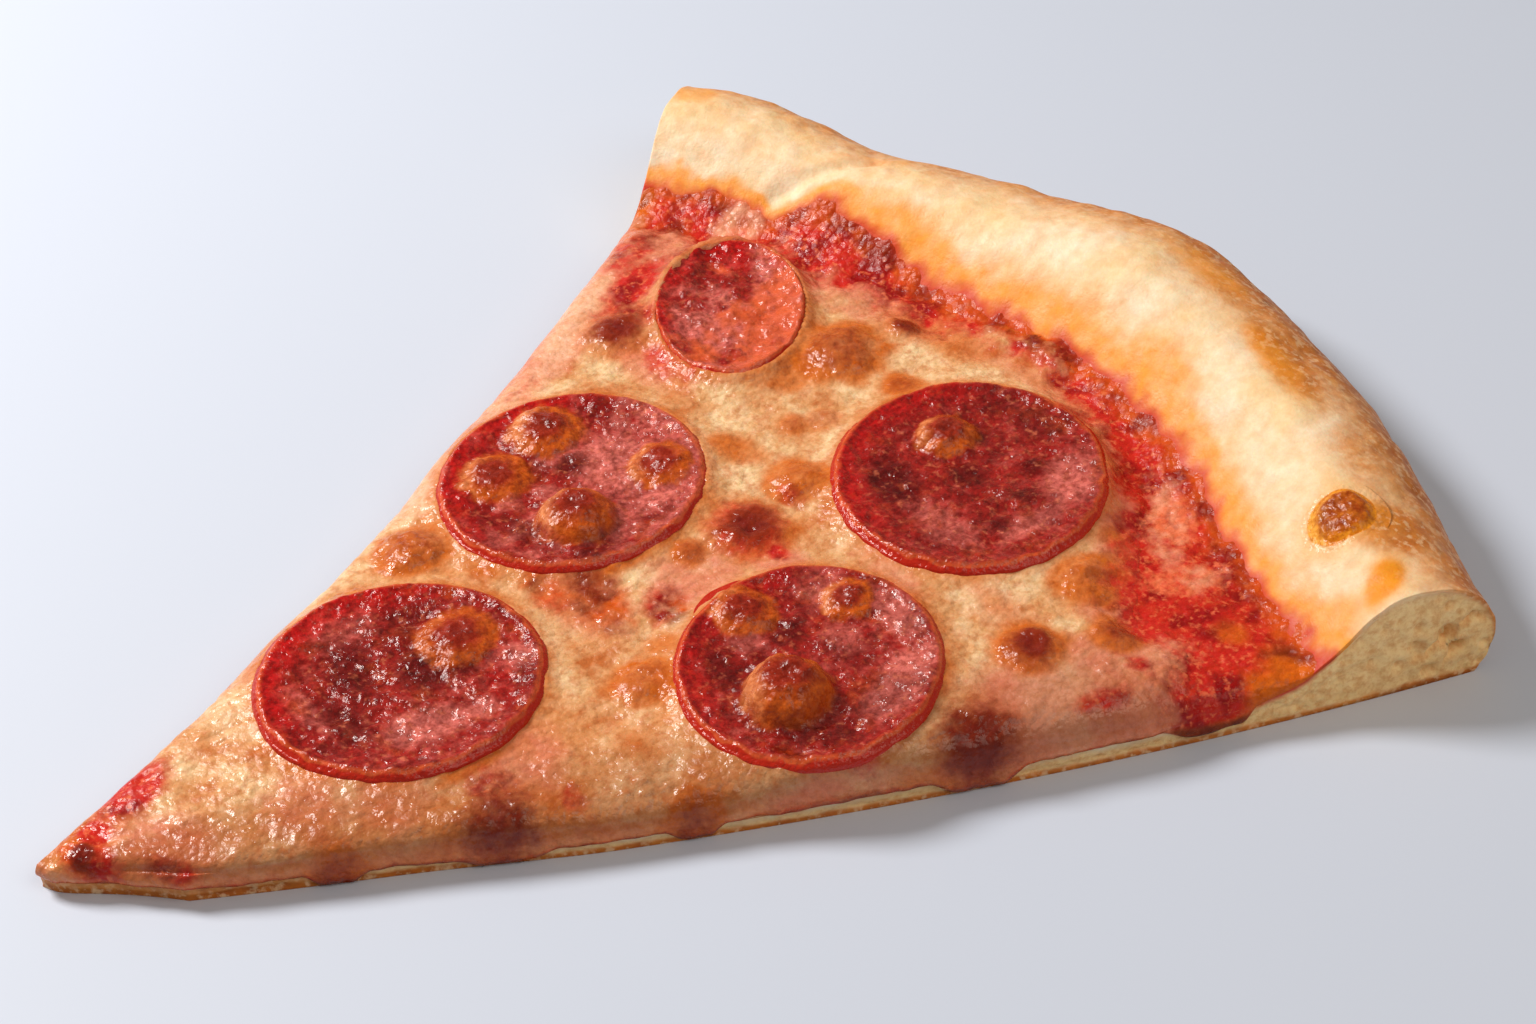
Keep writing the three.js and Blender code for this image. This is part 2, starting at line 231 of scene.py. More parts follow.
def buildCamera():
    level, ahead, forward = viewAxes()
    upright = level.cross(forward)
    roll = math.radians(view["roll"])
    across = level * math.cos(roll) - upright * math.sin(roll)
    up = level * math.sin(roll) + upright * math.cos(roll)
    camera = bpy.data.objects.new("camera", bpy.data.cameras.new("camera"))
    bpy.context.collection.objects.link(camera)
    place = Matrix((across, up, -forward)).transposed().to_4x4()
    place.translation = Vector(view["place"]) * mm
    camera.matrix_world = place
    camera.data.lens = view["lens"]
    camera.data.sensor_width = view["sensor"]
    camera.data.clip_start = view["nearest"]
    bpy.context.scene.camera = camera


def buildLamp(name, settings):
    light = bpy.data.lights.new(name, "AREA")
    light.shape = "DISK"
    light.size = settings["size"]
    light.energy = settings["watts"]
    light.color = settings["colour"]
    level, ahead, forward = viewAxes()
    right, onward, up = settings["from"]
    direction = (level * right + ahead * onward + Vector((0, 0, up))).normalized()
    lamp = bpy.data.objects.new(name, light)
    lamp.location = direction * settings["away"]
    lamp.rotation_euler = direction.to_track_quat("Z", "Y").to_euler()
    bpy.context.collection.objects.link(lamp)


def buildWorld():
    world = bpy.data.worlds.new("studio")
    world.use_nodes = True
    background = world.node_tree.nodes["Background"]
    background.inputs["Color"].default_value = (*studio["world"], 1)
    background.inputs["Strength"].default_value = studio["worldStrength"]
    bpy.context.scene.world = world
    bpy.context.scene.view_settings.view_transform = "Standard"


def buildFloor():
    bm = bmesh.new()
    bmesh.ops.create_grid(bm, x_segments=1, y_segments=1, size=studio["floorReach"])
    mesh = bpy.data.meshes.new("floor")
    bm.to_mesh(mesh)
    bm.free()
    floor = bpy.data.objects.new("floor", mesh)
    bpy.context.collection.objects.link(floor)
    material = bpy.data.materials.new("paleFloor")
    material.use_nodes = True
    shader = material.node_tree.nodes["Principled BSDF"]
    shader.inputs["Base Color"].default_value = (*studio["floor"], 1)
    shader.inputs["Roughness"].default_value = studio["floorRoughness"]
    mesh.materials.append(material)


buildCamera()
for lampName, lampSettings in lamps.items():
    buildLamp(lampName, lampSettings)
buildWorld()
buildFloor()
print("camera, floor and light made")

# Shader helpers


def tint(red, green, blue):  # screen colour, 0 to 255, as a shader colour
    parts = [c / 255 for c in (red, green, blue)]
    return (*[p / 12.92 if p < 0.0404 else ((p + 0.055) / 1.055) ** 2.4 for p in parts], 1)


def addNode(tree, kind, inputs=None, **settings):
    made = tree.nodes.new(kind)
    for key, value in settings.items():
        setattr(made, key, value)
    for key, value in (inputs or {}).items():
        if isinstance(value, bpy.types.NodeSocket):
            tree.links.new(value, made.inputs[key])
        else:
            made.inputs[key].default_value = value
    return made


def paint(tree, under, colour, mask, blend="MIX"):  # one colour laid over another through a mask
    made = addNode(tree, "ShaderNodeMix", data_type="RGBA", blend_type=blend)
    for place, value in ((0, mask), (6, under), (7, colour)):
        if isinstance(value, bpy.types.NodeSocket):
            tree.links.new(value, made.inputs[place])
        else:
            made.inputs[place].default_value = value
    return made.outputs[2]


def combine(tree, operation, a, b):
    return addNode(tree, "ShaderNodeMath", {0: a, 1: b}, operation=operation).outputs[0]


def spreadRange(tree, value, start, end, low=0.0, high=1.0):
    inputs = {"Value": value, "From Min": start, "From Max": end, "To Min": low, "To Max": high}
    return addNode(tree, "ShaderNodeMapRange", inputs).outputs["Result"]


def newGroup(name, inputs, outputs):
    group = bpy.data.node_groups.new(name, "ShaderNodeTree")
    for label, value in inputs.items():
        socket = group.interface.new_socket(name=label, in_out="INPUT", socket_type="NodeSocketFloat")
        socket.default_value = value
    for label, kind in outputs.items():
        group.interface.new_socket(name=label, in_out="OUTPUT", socket_type=kind)
    return group, group.nodes.new("NodeGroupInput").outputs, group.nodes.new("NodeGroupOutput").inputs


def paintGroup(name, *masks):  # a group that makes a colour from masks
    return newGroup(name, dict.fromkeys(masks, 0.0), {"Color": "NodeSocketColor"})


def noiseIn(tree, size, detail, roughness=0.55):  # 3D noise on object coordinates, its lumps size mm wide
    coords = addNode(tree, "ShaderNodeTexCoord").outputs["Object"]
    scale = combine(tree, "DIVIDE", 1 / mm, size) if isinstance(size, bpy.types.NodeSocket) else 1 / mm / size
    inputs = {"Vector": coords, "Scale": scale, "Detail": detail, "Roughness": roughness}
    return addNode(tree, "ShaderNodeTexNoise", inputs).outputs[0]


def mottleGroup():  # breaks a soft mask up into patches with a crisp or soft edge
    inputs = {"Mask": 0.0, "Size": 2.0, "Spread": 1.0, "Edge": 0.2}
    group, given, out = newGroup("mottle", inputs, {"Mask": "NodeSocketFloat"})
    patches = combine(group, "SUBTRACT", noiseIn(group, given["Size"], 3.0), 0.5)
    value = combine(group, "ADD", given["Mask"], combine(group, "MULTIPLY", patches, given["Spread"]))
    low = combine(group, "SUBTRACT", 0.5, given["Edge"])
    high = combine(group, "ADD", 0.5, given["Edge"])
    group.links.new(spreadRange(group, value, low, high), out["Mask"])
    return group


def reliefGroup():  # lumps, a finer grain and rounded beads, sizes and heights in mm
    inputs = {
        "Lump Size": 2.0, "Lump Height": 0.2, "Grain Size": 0.5, "Grain Height": 0.05,
        "Bead Size": 1.0, "Bead Height": 0.0,
    }
    outputs = {"Normal": "NodeSocketVector", "Height": "NodeSocketFloat"}
    group, given, out = newGroup("fineRelief", inputs, outputs)
    lumps = combine(group, "MULTIPLY", noiseIn(group, given["Lump Size"], 3.0), given["Lump Height"])
    fine = combine(group, "MULTIPLY", noiseIn(group, given["Grain Size"], 2.0), given["Grain Height"])
    coords = addNode(group, "ShaderNodeTexCoord").outputs["Object"]
    spacing = {"Vector": coords, "Scale": combine(group, "DIVIDE", 1 / mm, given["Bead Size"])}
    beads = addNode(group, "ShaderNodeTexVoronoi", spacing, feature="F1").outputs[0]
    beads = combine(group, "MULTIPLY", beads, given["Bead Height"])
    height = combine(group, "SUBTRACT", combine(group, "ADD", lumps, fine), beads)
    height = combine(group, "MULTIPLY", height, mm)
    bump = addNode(group, "ShaderNodeBump", {"Height": height, "Distance": 1.0, "Strength": 1.0})
    group.links.new(bump.outputs["Normal"], out["Normal"])
    group.links.new(height, out["Height"])
    return group


mottleTree = mottleGroup()
reliefTree = reliefGroup()


def mottle(tree, mask, size, spread, edge):
    made = addNode(tree, "ShaderNodeGroup", node_tree=mottleTree)
    tree.links.new(mask, made.inputs["Mask"])
    for label, value in (("Size", size), ("Spread", spread), ("Edge", edge)):
        made.inputs[label].default_value = value
    return made.outputs["Mask"]


def relief(tree, *sizes):  # size and height of the lumps, of the grain and of the beads
    made = addNode(tree, "ShaderNodeGroup", node_tree=reliefTree)
    for socket, value in zip(made.inputs, sizes):
        socket.default_value = value
    return made.outputs["Normal"]


def speckle(tree, colour, size, shade, light=1.12):  # dark specks in the shade given, and lighter ones
    specks = spreadRange(tree, noiseIn(tree, size, 4.0, 0.65), 0.36, 0.62)
    return paint(tree, colour, paint(tree, shade, (light, light, light, 1), specks), 1.0, "MULTIPLY")


def flecks(tree, under, colour, size, detail, start, end, cover=1.0, roughness=0.55):
    # flecks of a colour where a noise, size mm wide, lies between start and end
    mask = spreadRange(tree, noiseIn(tree, size, detail, roughness), start, end, 0.0, cover)
    return paint(tree, under, colour, mask)


def blotches(tree, under, colour, mask, size, spread, edge, gain=1.0, cover=1.0):
    # a colour in mottled patches: gain scales the mask before it is mottled, and cover after
    if gain != 1.0:
        mask = combine(tree, "MULTIPLY", mask, gain)
    mask = mottle(tree, mask, size, spread, edge)
    if cover != 1.0:
        mask = combine(tree, "MULTIPLY", mask, cover)
    return paint(tree, under, colour, mask)


def unevenShine(tree, size, start, end, low, high):  # roughness from low to high in patches size mm wide
    return spreadRange(tree, noiseIn(tree, size, 2.0), start, end, low, high)


def newMaterial(name, settings):  # the shader's plain values come from settings
    material = bpy.data.materials.new(name)
    material.use_nodes = True
    shader = material.node_tree.nodes["Principled BSDF"]
    for label, value in settings.items():
        shader.inputs[label].default_value = value
    return material, material.node_tree, shader


def paintWith(tree, group, masks):  # the colour that a node group makes from the masks
    made = addNode(tree, "ShaderNodeGroup", node_tree=group)
    for socket, mask in zip(made.inputs, masks):
        tree.links.new(mask, socket)
    return made.outputs[0]


def masksOf(tree, name):  # the four painted masks of an attribute
    read = addNode(tree, "ShaderNodeAttribute", attribute_name=name)
    parts = addNode(tree, "ShaderNodeSeparateColor", {0: read.outputs["Color"]})
    return parts.outputs[0], parts.outputs[1], parts.outputs[2], read.outputs["Alpha"]


def finishShader(tree, shader, colour, roughness, normal):
    tree.links.new(colour, shader.inputs["Base Color"])
    tree.links.new(roughness, shader.inputs["Roughness"])
    tree.links.new(normal, shader.inputs["Normal"])


# Mesh helpers


def startBlock(columns, rows):
    # A closed flat block of cells: x from -1 to 1, y from 0 to rows, z 0 underneath and 1 on top
    bm = bmesh.new()
    bmesh.ops.create_grid(bm, x_segments=columns, y_segments=rows, size=1)
    bmesh.ops.scale(bm, vec=(1, rows / 2, 1), verts=bm.verts)
    bmesh.ops.translate(bm, vec=(0, rows / 2, 0), verts=bm.verts)
    made = bmesh.ops.extrude_face_region(bm, geom=bm.faces[:])["geom"]
    lifted = [v for v in made if isinstance(v, bmesh.types.BMVert)]
    bmesh.ops.translate(bm, vec=(0, 0, 1), verts=lifted)
    bmesh.ops.recalc_face_normals(bm, faces=bm.faces[:])
    return bm


def refine(bm, cuts, picks):  # cuts every edge that picks takes, by its two ends
    edges = [e for e in bm.edges if picks(e.verts[0].co, e.verts[1].co)]
    bmesh.ops.subdivide_edges(bm, edges=edges, cuts=cuts, use_grid_fill=True)


hair = 1e-4  # places on a block that are closer than this are the same


def atCut(t):  # whether a vertex of a block is on one of the two walls that make the cuts
    return abs(t) > 1 - hair


def onEdge(co, rows):  # whether a vertex of a block is on any of its walls
    return atCut(co.x) or co.y < hair or co.y > rows - hair


def finishPiece(name, bm, place, material, replaced, attributes):
    # place gives a point in mm and, for each vertex of the block, four masks for every attribute
    layers = [bm.verts.layers.float_color.new(attribute) for attribute in attributes]
    for v in bm.verts:
        point, masks = place(v.co.x, v.co.y, v.co.z)
        v.co = ((point[0] + plan["centreX"]) * mm, (point[1] + plan["centreY"]) * mm, point[2] * mm)
        for number, layer in enumerate(layers):
            v[layer] = [min(max(m, 0), 1) for m in masks[4 * number:4 * number + 4]]
    for face in bm.faces:
        face.smooth = True
    mesh = bpy.data.meshes.new(name)
    bm.to_mesh(mesh)
    bm.free()
    mesh.materials.append(material)
    piece = bpy.data.objects.new(name, mesh)
    bpy.context.collection.objects.link(piece)
    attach(piece, "root")
    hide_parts(*replaced)
    print(name, "made,", len(mesh.polygons), "faces")
    return piece


def zoneMask(zones, x, y):
    # soft patches in plan, each with x, y, half width, half depth, turn in degrees and strength
    total = 0
    for zoneX, zoneY, wide, deep, turn, strength in zones:
        dx, dy = x - zoneX, y - zoneY
        if abs(dx) + abs(dy) > 2.2 * (wide + deep):
            continue
        angle = math.radians(turn)
        a = (dx * math.cos(angle) + dy * math.sin(angle)) / wide
        b = (dy * math.cos(angle) - dx * math.sin(angle)) / deep
        total = max(total, strength * ramp(math.hypot(a, b), 1.35, 0.4))
    return total


# The crust

crustShape = {
    "columns": 36, "flatRows": 14, "slopeRows": 7, "roundRows": 6,
    "topCuts": 7, "wallCuts": 27, "cutCuts": 15,
    "lumpSize": 13, "lumpHeight": 0.55, "dimpleSize": 4.2, "dimpleHeight": 0.2,
    "creaseFrom": (-50.0, 166.0), "creaseTo": (-42.0, 181.0), "creaseWidth": 1.3, "creaseDepth": 0.9,
}
crumbShape = {
    "poreSize": 1.5, "poreDepth": 0.3, "holeSize": 4.4, "holeDepth": 2.2, "holesFrom": 172, "holesFull": 186,
    "waveSize": 3.2, "waveDepth": 0.25, "sunk": 0.2, "openDepth": 1.3,
    "open": [(187.5, 6.2, 1.5, 0.9), (190.0, 7.2, 1.4, 1.3), (191.5, 4.6, 1.8, 0.7), (192.3, 9.6, 1.2, 0.9)],
}  # "open" holds the open pores near the end of the right cut: r, z, half length and half height
crustBake = {  # where the crust browned, and how far the stains reach up the rim: left, middle and right
    "outer": 0.62, "outerMore": 0.3, "moreAt": 0.3, "moreSpread": 0.6, "uneven": 0.3, "unevenSize": 15,
    "tip": 0.6, "tipUntil": 60, "tipFull": 30, "base": 0.9, "baseUntil": 1.3, "baseFull": 0.2,
    "redReach": (0.6, 1.8, 1.4), "goldReach": (1.6, 7.5, 5.2), "stainFrom": 2.5, "stainFull": 4.5,
}
crustColours = {
    "cream": tint(234, 210, 164), "pale": tint(238, 225, 196), "golden": tint(230, 150, 44),
    "tan": tint(198, 112, 34), "toastAndLight": tint(140, 68, 18), "flour": tint(236, 206, 166),
    "crumb": tint(250, 213, 152), "pore": tint(222, 164, 100), "gold": tint(240, 152, 22),
    "red": tint(196, 40, 16), "orange": tint(224, 104, 26),
}
crustBlotches = {  # patch size, spread, softness of the edge, then gain and cover
    "golden": (6.0, 0.8, 0.5), "tan": (2.4, 0.9, 0.4, 0.85), "toastAndLight": (1.8, 0.8, 0.3, 0.55),
    "gold": (2.6, 0.7, 0.6, 1.0, 0.95), "orange": (2.0, 0.5, 0.6, 1.5), "red": (2.8, 0.5, 0.42),
}
crustFinish = {
    "shader": {"Subsurface Weight": 0.1, "Subsurface Scale": 0.0012, "Specular IOR Level": 0.3},
    "shine": (3.0, 0.3, 0.7, 0.45, 0.7), "relief": (1.6, 0.14, 0.5, 0.07),
}
goldPatches = [
    (81, 163.5, 2.8, 5.5, 20, 1.0), (78.5, 157.5, 5, 3.5, 0, 0.9), (69, 169, 6.5, 6, 0, 0.4),
    (8, 177, 14, 4, 0, 0.7), (26, 176, 9, 5, -10, 1.0), (-76, 171, 4, 5, 0, 0.5),
    (-36, 171, 8, 2, 10, 0.4), (40, 186, 10, 3, -22, 0.5), (18, 195, 8, 4, -10, 0.5),
]
brownPatches = [
    (40, 188, 14, 4.5, -22, 0.75), (24, 195, 12, 5, -12, 0.6), (62, 181, 10, 5, -35, 0.5),
    (76, 173, 6, 7, -40, 0.8), (4, 201, 8, 4, 0, 0.7), (-83, 176, 4, 5, 0, 1.2),
    (-76, 181, 7, 3, 10, 0.8), (-18, 203, 4, 3, 0, 0.9), (50, 189, 10, 5, -28, 0.5),
    (81, 164, 2.2, 4, 20, 0.9),
]


def lineDistance(x, y, start, end):
    dx, dy = end[0] - start[0], end[1] - start[1]
    t = min(max(((x - start[0]) * dx + (y - start[1]) * dy) / (dx * dx + dy * dy), 0), 1)
    return math.hypot(x - start[0] - t * dx, y - start[1] - t * dy)


def crustRelief(x, y, z):
    s = crustShape
    lumps = s["lumpHeight"] * grain(x, y, z, s["lumpSize"], 3)
    lumps += s["dimpleHeight"] * grain(y, x, z, s["dimpleSize"], 2)
    away = lineDistance(x, y, s["creaseFrom"], s["creaseTo"]) / s["creaseWidth"]
    return lumps - s["creaseDepth"] * math.exp(-away * away)


def crustPuff(r):  # the relief fades out below the rim
    return ramp(r, rim["foot"] - 1, rim["foot"] + 8)


def crustTop(u, r, x, y):  # the surface that the toppings lie on
    z = crustHeight(u, r)
    return z + crustRelief(x, y, z) * crustPuff(r)


def crumbRelief(x, y, z, openness):
    s = crumbShape
    pores = pebbles(x, y, z * 1.4, s["poreSize"]) * s["poreDepth"]
    holes = max(0, 1 - cells(x, y * 1.2, z * 1.5 + 9, s["holeSize"]) / 0.42) * s["holeDepth"] * openness
    return pores + holes + s["waveDepth"] * grain(x, y, z, s["waveSize"], 3)


def crumbHole(u, r, z):  # the open pores near the outer end of the right cut
    depth = 0
    for holeR, holeZ, long, high in crumbShape["open"]:
        along, across = r - holeR, z - holeZ - 0.7 * (r - holeR)
        depth = max(depth, ramp(math.hypot(along / long, across / high), 1.2, 0.5))
    return depth * ramp(u, 0, 1)


def crumbDent(u, r, x, y, z):
    s = crumbShape
    openness = ramp(r, s["holesFrom"], s["holesFull"])
    return crumbRelief(x, y, z, openness) + s["sunk"] + s["openDepth"] * crumbHole(u, r, z)


def crumbMask(r, x, y, z, top):  # pale crumb between the browned base and the top, and none at the tip
    underTop = ramp(top - z + 0.5 * grain(x, y, z, 3, 2), 0.2, 1.8)
    overBase = ramp(z, 0.5, 1.1 + 0.4 * grain(x, y, 0, 3, 2))
    return underTop * overBase * ramp(r, 30, 55)


def crustPlace(t, row, w):
    s = crustShape
    u = towardsCuts(t)
    outside, crest, crown = rimOutside(u), rimCrest(u), rimCrown(u)
    onRim = row - s["flatRows"]
    r = mix(tipRadius(u), rim["foot"], row / s["flatRows"])
    lean = 0
    if onRim > 0:
        r = mix(rim["foot"], crest, onRim / s["slopeRows"])
    z = crustHeight(u, r)
    if onRim > s["slopeRows"]:
        lean = (math.pi / 2) * (onRim - s["slopeRows"]) / s["roundRows"]
        r = mix(crest, outside, math.sin(lean))
        z = mix(rim["side"] * crown, crown, math.cos(lean))
    under = r - rim["tuck"] * ramp(r, crest, outside)
    above = 1 - (1 - w) ** 2
    reach = mix(under, r, above)
    x, y = inPlan(u, reach)
    top = z
    z = z * w
    bulge = crustRelief(x, y, z) * crustPuff(r) * min(1, 3 * w)
    x, y = inPlan(u, reach + bulge * math.sin(lean))
    z += bulge * math.cos(lean) * w
    crumb = 0
    if atCut(t) and 0 < w < 1:
        dent = crumbDent(u, r, x, y, z) * ramp(z, 0.1, 0.9) * ramp(top - z, 0.1, 2.4)
        angle = u * halfAngleAt(r)
        x -= math.copysign(dent * math.cos(angle), u)
        y += abs(math.sin(angle)) * dent
        crumb = crumbMask(r, x, y, z, top)
    return (x, y, z), crustMasks(u, r, x, y, z, crumb)


def upTheRim(u, reaches):  # how far a stain climbs: left end, middle and right half
    left, middle, right = reaches
    return mix(mix(left, middle, ramp(u, -0.66, -0.42)), right, ramp(u, 0.28, 0.5))


def pastSauce(u, r, x, y):  # mm beyond the ragged edge of the sauce
    s = sauceLayer
    inward = s["rightDip"] * ramp(u, 0.4, 0.75) * ramp(u, 1.15, 0.8)
    inward += sum(depth * bell(u, middle, spread) for depth, middle, spread in s["dips"])
    return r - sauceEdge(u) + inward + s["ragged"] * grain(x, y, 0, s["raggedSize"], 3)


def crustMasks(u, r, x, y, z, crumb):
    b = crustBake
    brown = b["outer"] + b["outerMore"] * bell(u, b["moreAt"], b["moreSpread"])
    brown += b["uneven"] * grain(x, y, z, b["unevenSize"], 3)
    brown *= ramp(r, rimCrest(u) - 3, rimOutside(u) - 1)
    tip = b["tip"] * ramp(r, b["tipUntil"], b["tipFull"])
    brown = max(brown, zoneMask(brownPatches, x, y), tip) + b["base"] * ramp(z, b["baseUntil"], b["baseFull"])
    beyond = pastSauce(u, r, x, y)
    stained = ramp(r, rim["foot"] - 5, rim["foot"] - 2) * ramp(z, b["stainFrom"], b["stainFull"])
    red = ramp(beyond, upTheRim(u, b["redReach"]), -2.0) * stained
    golden = upTheRim(u, b["goldReach"]) * (1 + 0.5 * grain(x, y, 20, 12, 2))
    gold = max(ramp(beyond, golden, 0.3 * golden) * stained, zoneMask(goldPatches, x, y))
    return brown, crumb, red, gold


def crustPaintGroup():
    c = crustColours
    group, given, out = paintGroup("crustPaint", "Brown", "Crumb", "Red", "Gold")
    colour = flecks(group, c["cream"], c["pale"], 11.0, 3.0, 0.35, 0.65)
    for name in ("golden", "tan", "toastAndLight"):
        colour = blotches(group, colour, c[name], given["Brown"], *crustBlotches[name])
    flour = spreadRange(group, noiseIn(group, 1.1, 3.0), 0.5, 0.64, 0.0, 0.75)
    colour = paint(group, colour, c["flour"], combine(group, "MULTIPLY", given["Brown"], flour))
    for name, mask in (("gold", "Gold"), ("orange", "Red"), ("red", "Red")):
        colour = blotches(group, colour, c[name], given[mask], *crustBlotches[name])
    crumb = flecks(group, c["pore"], c["crumb"], 1.3, 4.0, 0.3, 0.58, roughness=0.7)
    colour = paint(group, colour, crumb, given["Crumb"])
    colour = speckle(group, colour, 1.6, (0.96, 0.92, 0.86, 1), 1.02)
    group.links.new(colour, out["Color"])
    return group


crustPaint = crustPaintGroup()


def crustMaterial():
    material, tree, shader = newMaterial("bakedCrust", crustFinish["shader"])
    colour = paintWith(tree, crustPaint, masksOf(tree, "baking"))
    roughness = unevenShine(tree, *crustFinish["shine"])
    finishShader(tree, shader, colour, roughness, relief(tree, *crustFinish["relief"]))
    return material


def alongCut(a, b, rows):  # an edge that runs along a cut, up to the row given
    level = abs(a.x - b.x) < hair and abs(a.z - b.z) < hair
    return level and atCut(a.x) and max(a.y, b.y) < rows + 0.1


def inSkin(a, b, rows, start):  # a level edge of the top or the walls, from the row given on
    level = abs(a.z - b.z) < hair and min(a.y, b.y) > start - 0.1
    return level and (a.z > 0.99 or (onEdge(a, rows) and onEdge(b, rows)))


def upright(a, b):
    return abs(a.z - b.z) > 0.5


def buildCrust():
    s = crustShape
    rows = s["flatRows"] + s["slopeRows"] + s["roundRows"]
    bm = startBlock(s["columns"], rows)
    refine(bm, s["wallCuts"], upright)
    refine(bm, s["topCuts"], lambda a, b: inSkin(a, b, rows, s["flatRows"]))
    refine(bm, s["cutCuts"], lambda a, b: alongCut(a, b, s["flatRows"]))
    finishPiece("crust_skin", bm, crustPlace, crustMaterial(), ["crust"], ["baking"])


buildCrust()

# Colours that the sauce and the cheese share, so that one runs into the other

sauceColours = {
    "red": tint(194, 34, 24), "deep": tint(146, 8, 10), "orange": tint(228, 112, 74),
    # milk is pale cheese film, partly laid on as painted highlight
    "oil": tint(206, 96, 10), "ember": tint(98, 24, 4), "milkAndGlare": tint(238, 188, 156),
}
cheeseColours = {
    "base": tint(216, 160, 110), "pale": tint(232, 200, 156), "tan": tint(190, 106, 52),
    "pink": tint(214, 130, 102), "amber": tint(202, 100, 18), "brown": tint(158, 56, 14),
    "dark": tint(112, 18, 8),
}
toppingBlotches = {  # patch size, spread, softness of the edge, then gain
    "pink": (3.2, 1.0, 0.4), "milkAndGlare": (2.0, 0.9, 0.5), "amber": (2.0, 0.8, 0.5, 0.85),
    "deep": (1.9, 1.1, 0.4), "orange": (1.3, 1.2, 0.25), "ember": (3.0, 0.5, 0.5), "oil": (2.6, 0.6, 0.5),
    "sauce": (1.8, 1.0, 0.35), "brown": (1.6, 0.8, 0.45, 1.3), "dark": (1.6, 0.6, 0.3, 0.75),
}
rightShade = (0.66, 0.6, 0.56, 1)  # painted shade: what the colours are multiplied by beside the right cut, where the surface rolls away from the light
orangeSauce = [
    (6, 89, 11, 6, -10, 0.75), (-3, 84, 6, 3, 0, 0.7), (16, 97, 5, 4, -20, 0.7),
    (79, 152, 6, 6, -30, 1.2), (74, 157, 8, 3.5, -30, 0.9), (56, 164, 10, 3, -28, 0.7),
    (68, 149, 3, 2.4, 0, 0.7), (-58, 150, 4, 5, 30, 0.5), (-70, 155, 3, 2, 30, 0.8),
]
pinkSauce = [
    (48, 157, 8, 4, -40, 0.9), (41, 163, 6, 3, -30, 0.7), (57, 154, 5, 6, -35, 0.6),
    (-42, 161, 3, 3, 30, 0.5), (-51, 159, 5, 7, 30, 1.2), (10, 166, 16, 2.5, 0, 0.5),
    (66, 140, 4, 6, -30, 0.5), (-66, 149, 3, 2, 30, 0.7),
]
pinkZones = [
    (63, 118, 11, 9, 0, 1.0), (70, 127, 8, 8, 0, 1.0), (62, 130, 7, 5, 0, 0.8), (17, 112, 6, 4, 0, 0.9),
    (31, 121, 9, 3, -10, 0.6), (12, 101, 7, 8, 0, 0.8), (25, 62, 8, 8, 0, 0.8), (14, 37, 7, 6, 20, 0.6),
    (7, 20, 9, 6, 30, 0.9), (55, 85, 4, 10, -25, 0.9), (47, 67, 4, 8, -25, 0.6), (34, 48, 4, 6, -30, 0.7),
    (30, 164, 8, 4, -15, 0.6), (-24, 163, 10, 5, 20, 0.5), (-52, 140, 6, 16, 25, 0.9),
    (-44, 118, 5, 10, 25, 0.9), (5, 88, 9, 6, 0, 0.8), (43, 157, 9, 5, -30, 0.9),
    (-31, 126, 9, 4, 0, 0.7), (57, 146, 7, 6, 0, 0.9), (20, 46, 6, 6, 0, 0.7),
]
amberZones = [
    (36, 79, 12, 8, -10, 0.5), (28, 87, 5, 3.5, 0, 1.0), (-6, 123, 6, 3, 20, 0.9),
    (-12, 81, 8, 3, 15, 0.7), (-17, 78, 4, 4, 0, 1.0), (-13, 139, 3.5, 3, 40, 0.8),
    (50, 147, 4, 5, 30, 0.9), (2.6, 97, 2.4, 8, 0, 1.1), (21.8, 57, 1.8, 8, 0, 1.0),
    (20, 90, 3, 3, 0, 0.9), (-1, 12, 5, 4, 20, 1.0), (-6, 37, 5, 9, 15, 0.3), (62, 101, 3, 6, -30, 0.8),
    (-26, 130, 3, 12, 30, 0.5), (45, 150, 3, 3, 0, 0.9), (-18, 146, 3, 8, 20, 0.5),
    (44, 128, 4, 2, 0, 0.6), (42, 141, 2, 8, -10, 0.7), (2, 87, 13, 7, -10, 0.6),
    (-8, 164, 12, 5, 5, 0.65), (14, 167, 12, 3, 0, 0.5), (24, 68, 5, 8, -20, 0.4),
]
redZones = [
    (6, 89, 9, 4.5, -10, 0.75), (0, 84.5, 6, 3, 0, 0.6), (14, 95, 5, 4, -20, 0.7),
    (-49, 137, 4, 9, 25, 0.95), (-57, 143, 4, 9, 30, 0.7), (-42, 131, 7, 4, 40, 0.7),
    (24, 169, 8, 2.5, -5, 1.0), (-10, 171, 4, 2.4, 0, 1.1), (-33, 167, 13, 4.5, 12, 1.1),
    (-60, 155, 6, 6, 30, 0.8), (-26, 129, 6, 2.4, -20, 0.5), (0, 172, 12, 1.6, 0, 0.9),
    (-5, 22, 4.4, 7, 20, 1.0), (-1.6, 14.5, 3, 2.6, 0, 1.1), (10, 19, 4, 1.6, 35, 0.7),
    (61, 139.5, 2.2, 2.6, 0, 1.1), (67.4, 126, 1.8, 5, -20, 0.75), (9, 113, 6.5, 5.5, 0, 0.9),
    (65.8, 134, 2, 2, 0, 0.8), (35, 64, 3, 2, 0, 0.5), (-39, 108, 3, 6, 25, 0.4),
    (57, 152, 6, 5, -30, 0.8), (-30, 127, 5, 2, -20, 0.7), (16, 113, 2.5, 1.6, 0, 0.9),
    (56, 95, 2.4, 2.4, 0, 0.6), (26, 57, 4, 4, 0, 0.6), (8, 122, 3, 2, 0, 0.5), (2, 12, 5, 3, 20, 0.8),
    (22, 164, 5, 2.5, 0, 0.7), (-50, 147, 2, 4, 20, 0.6),
]
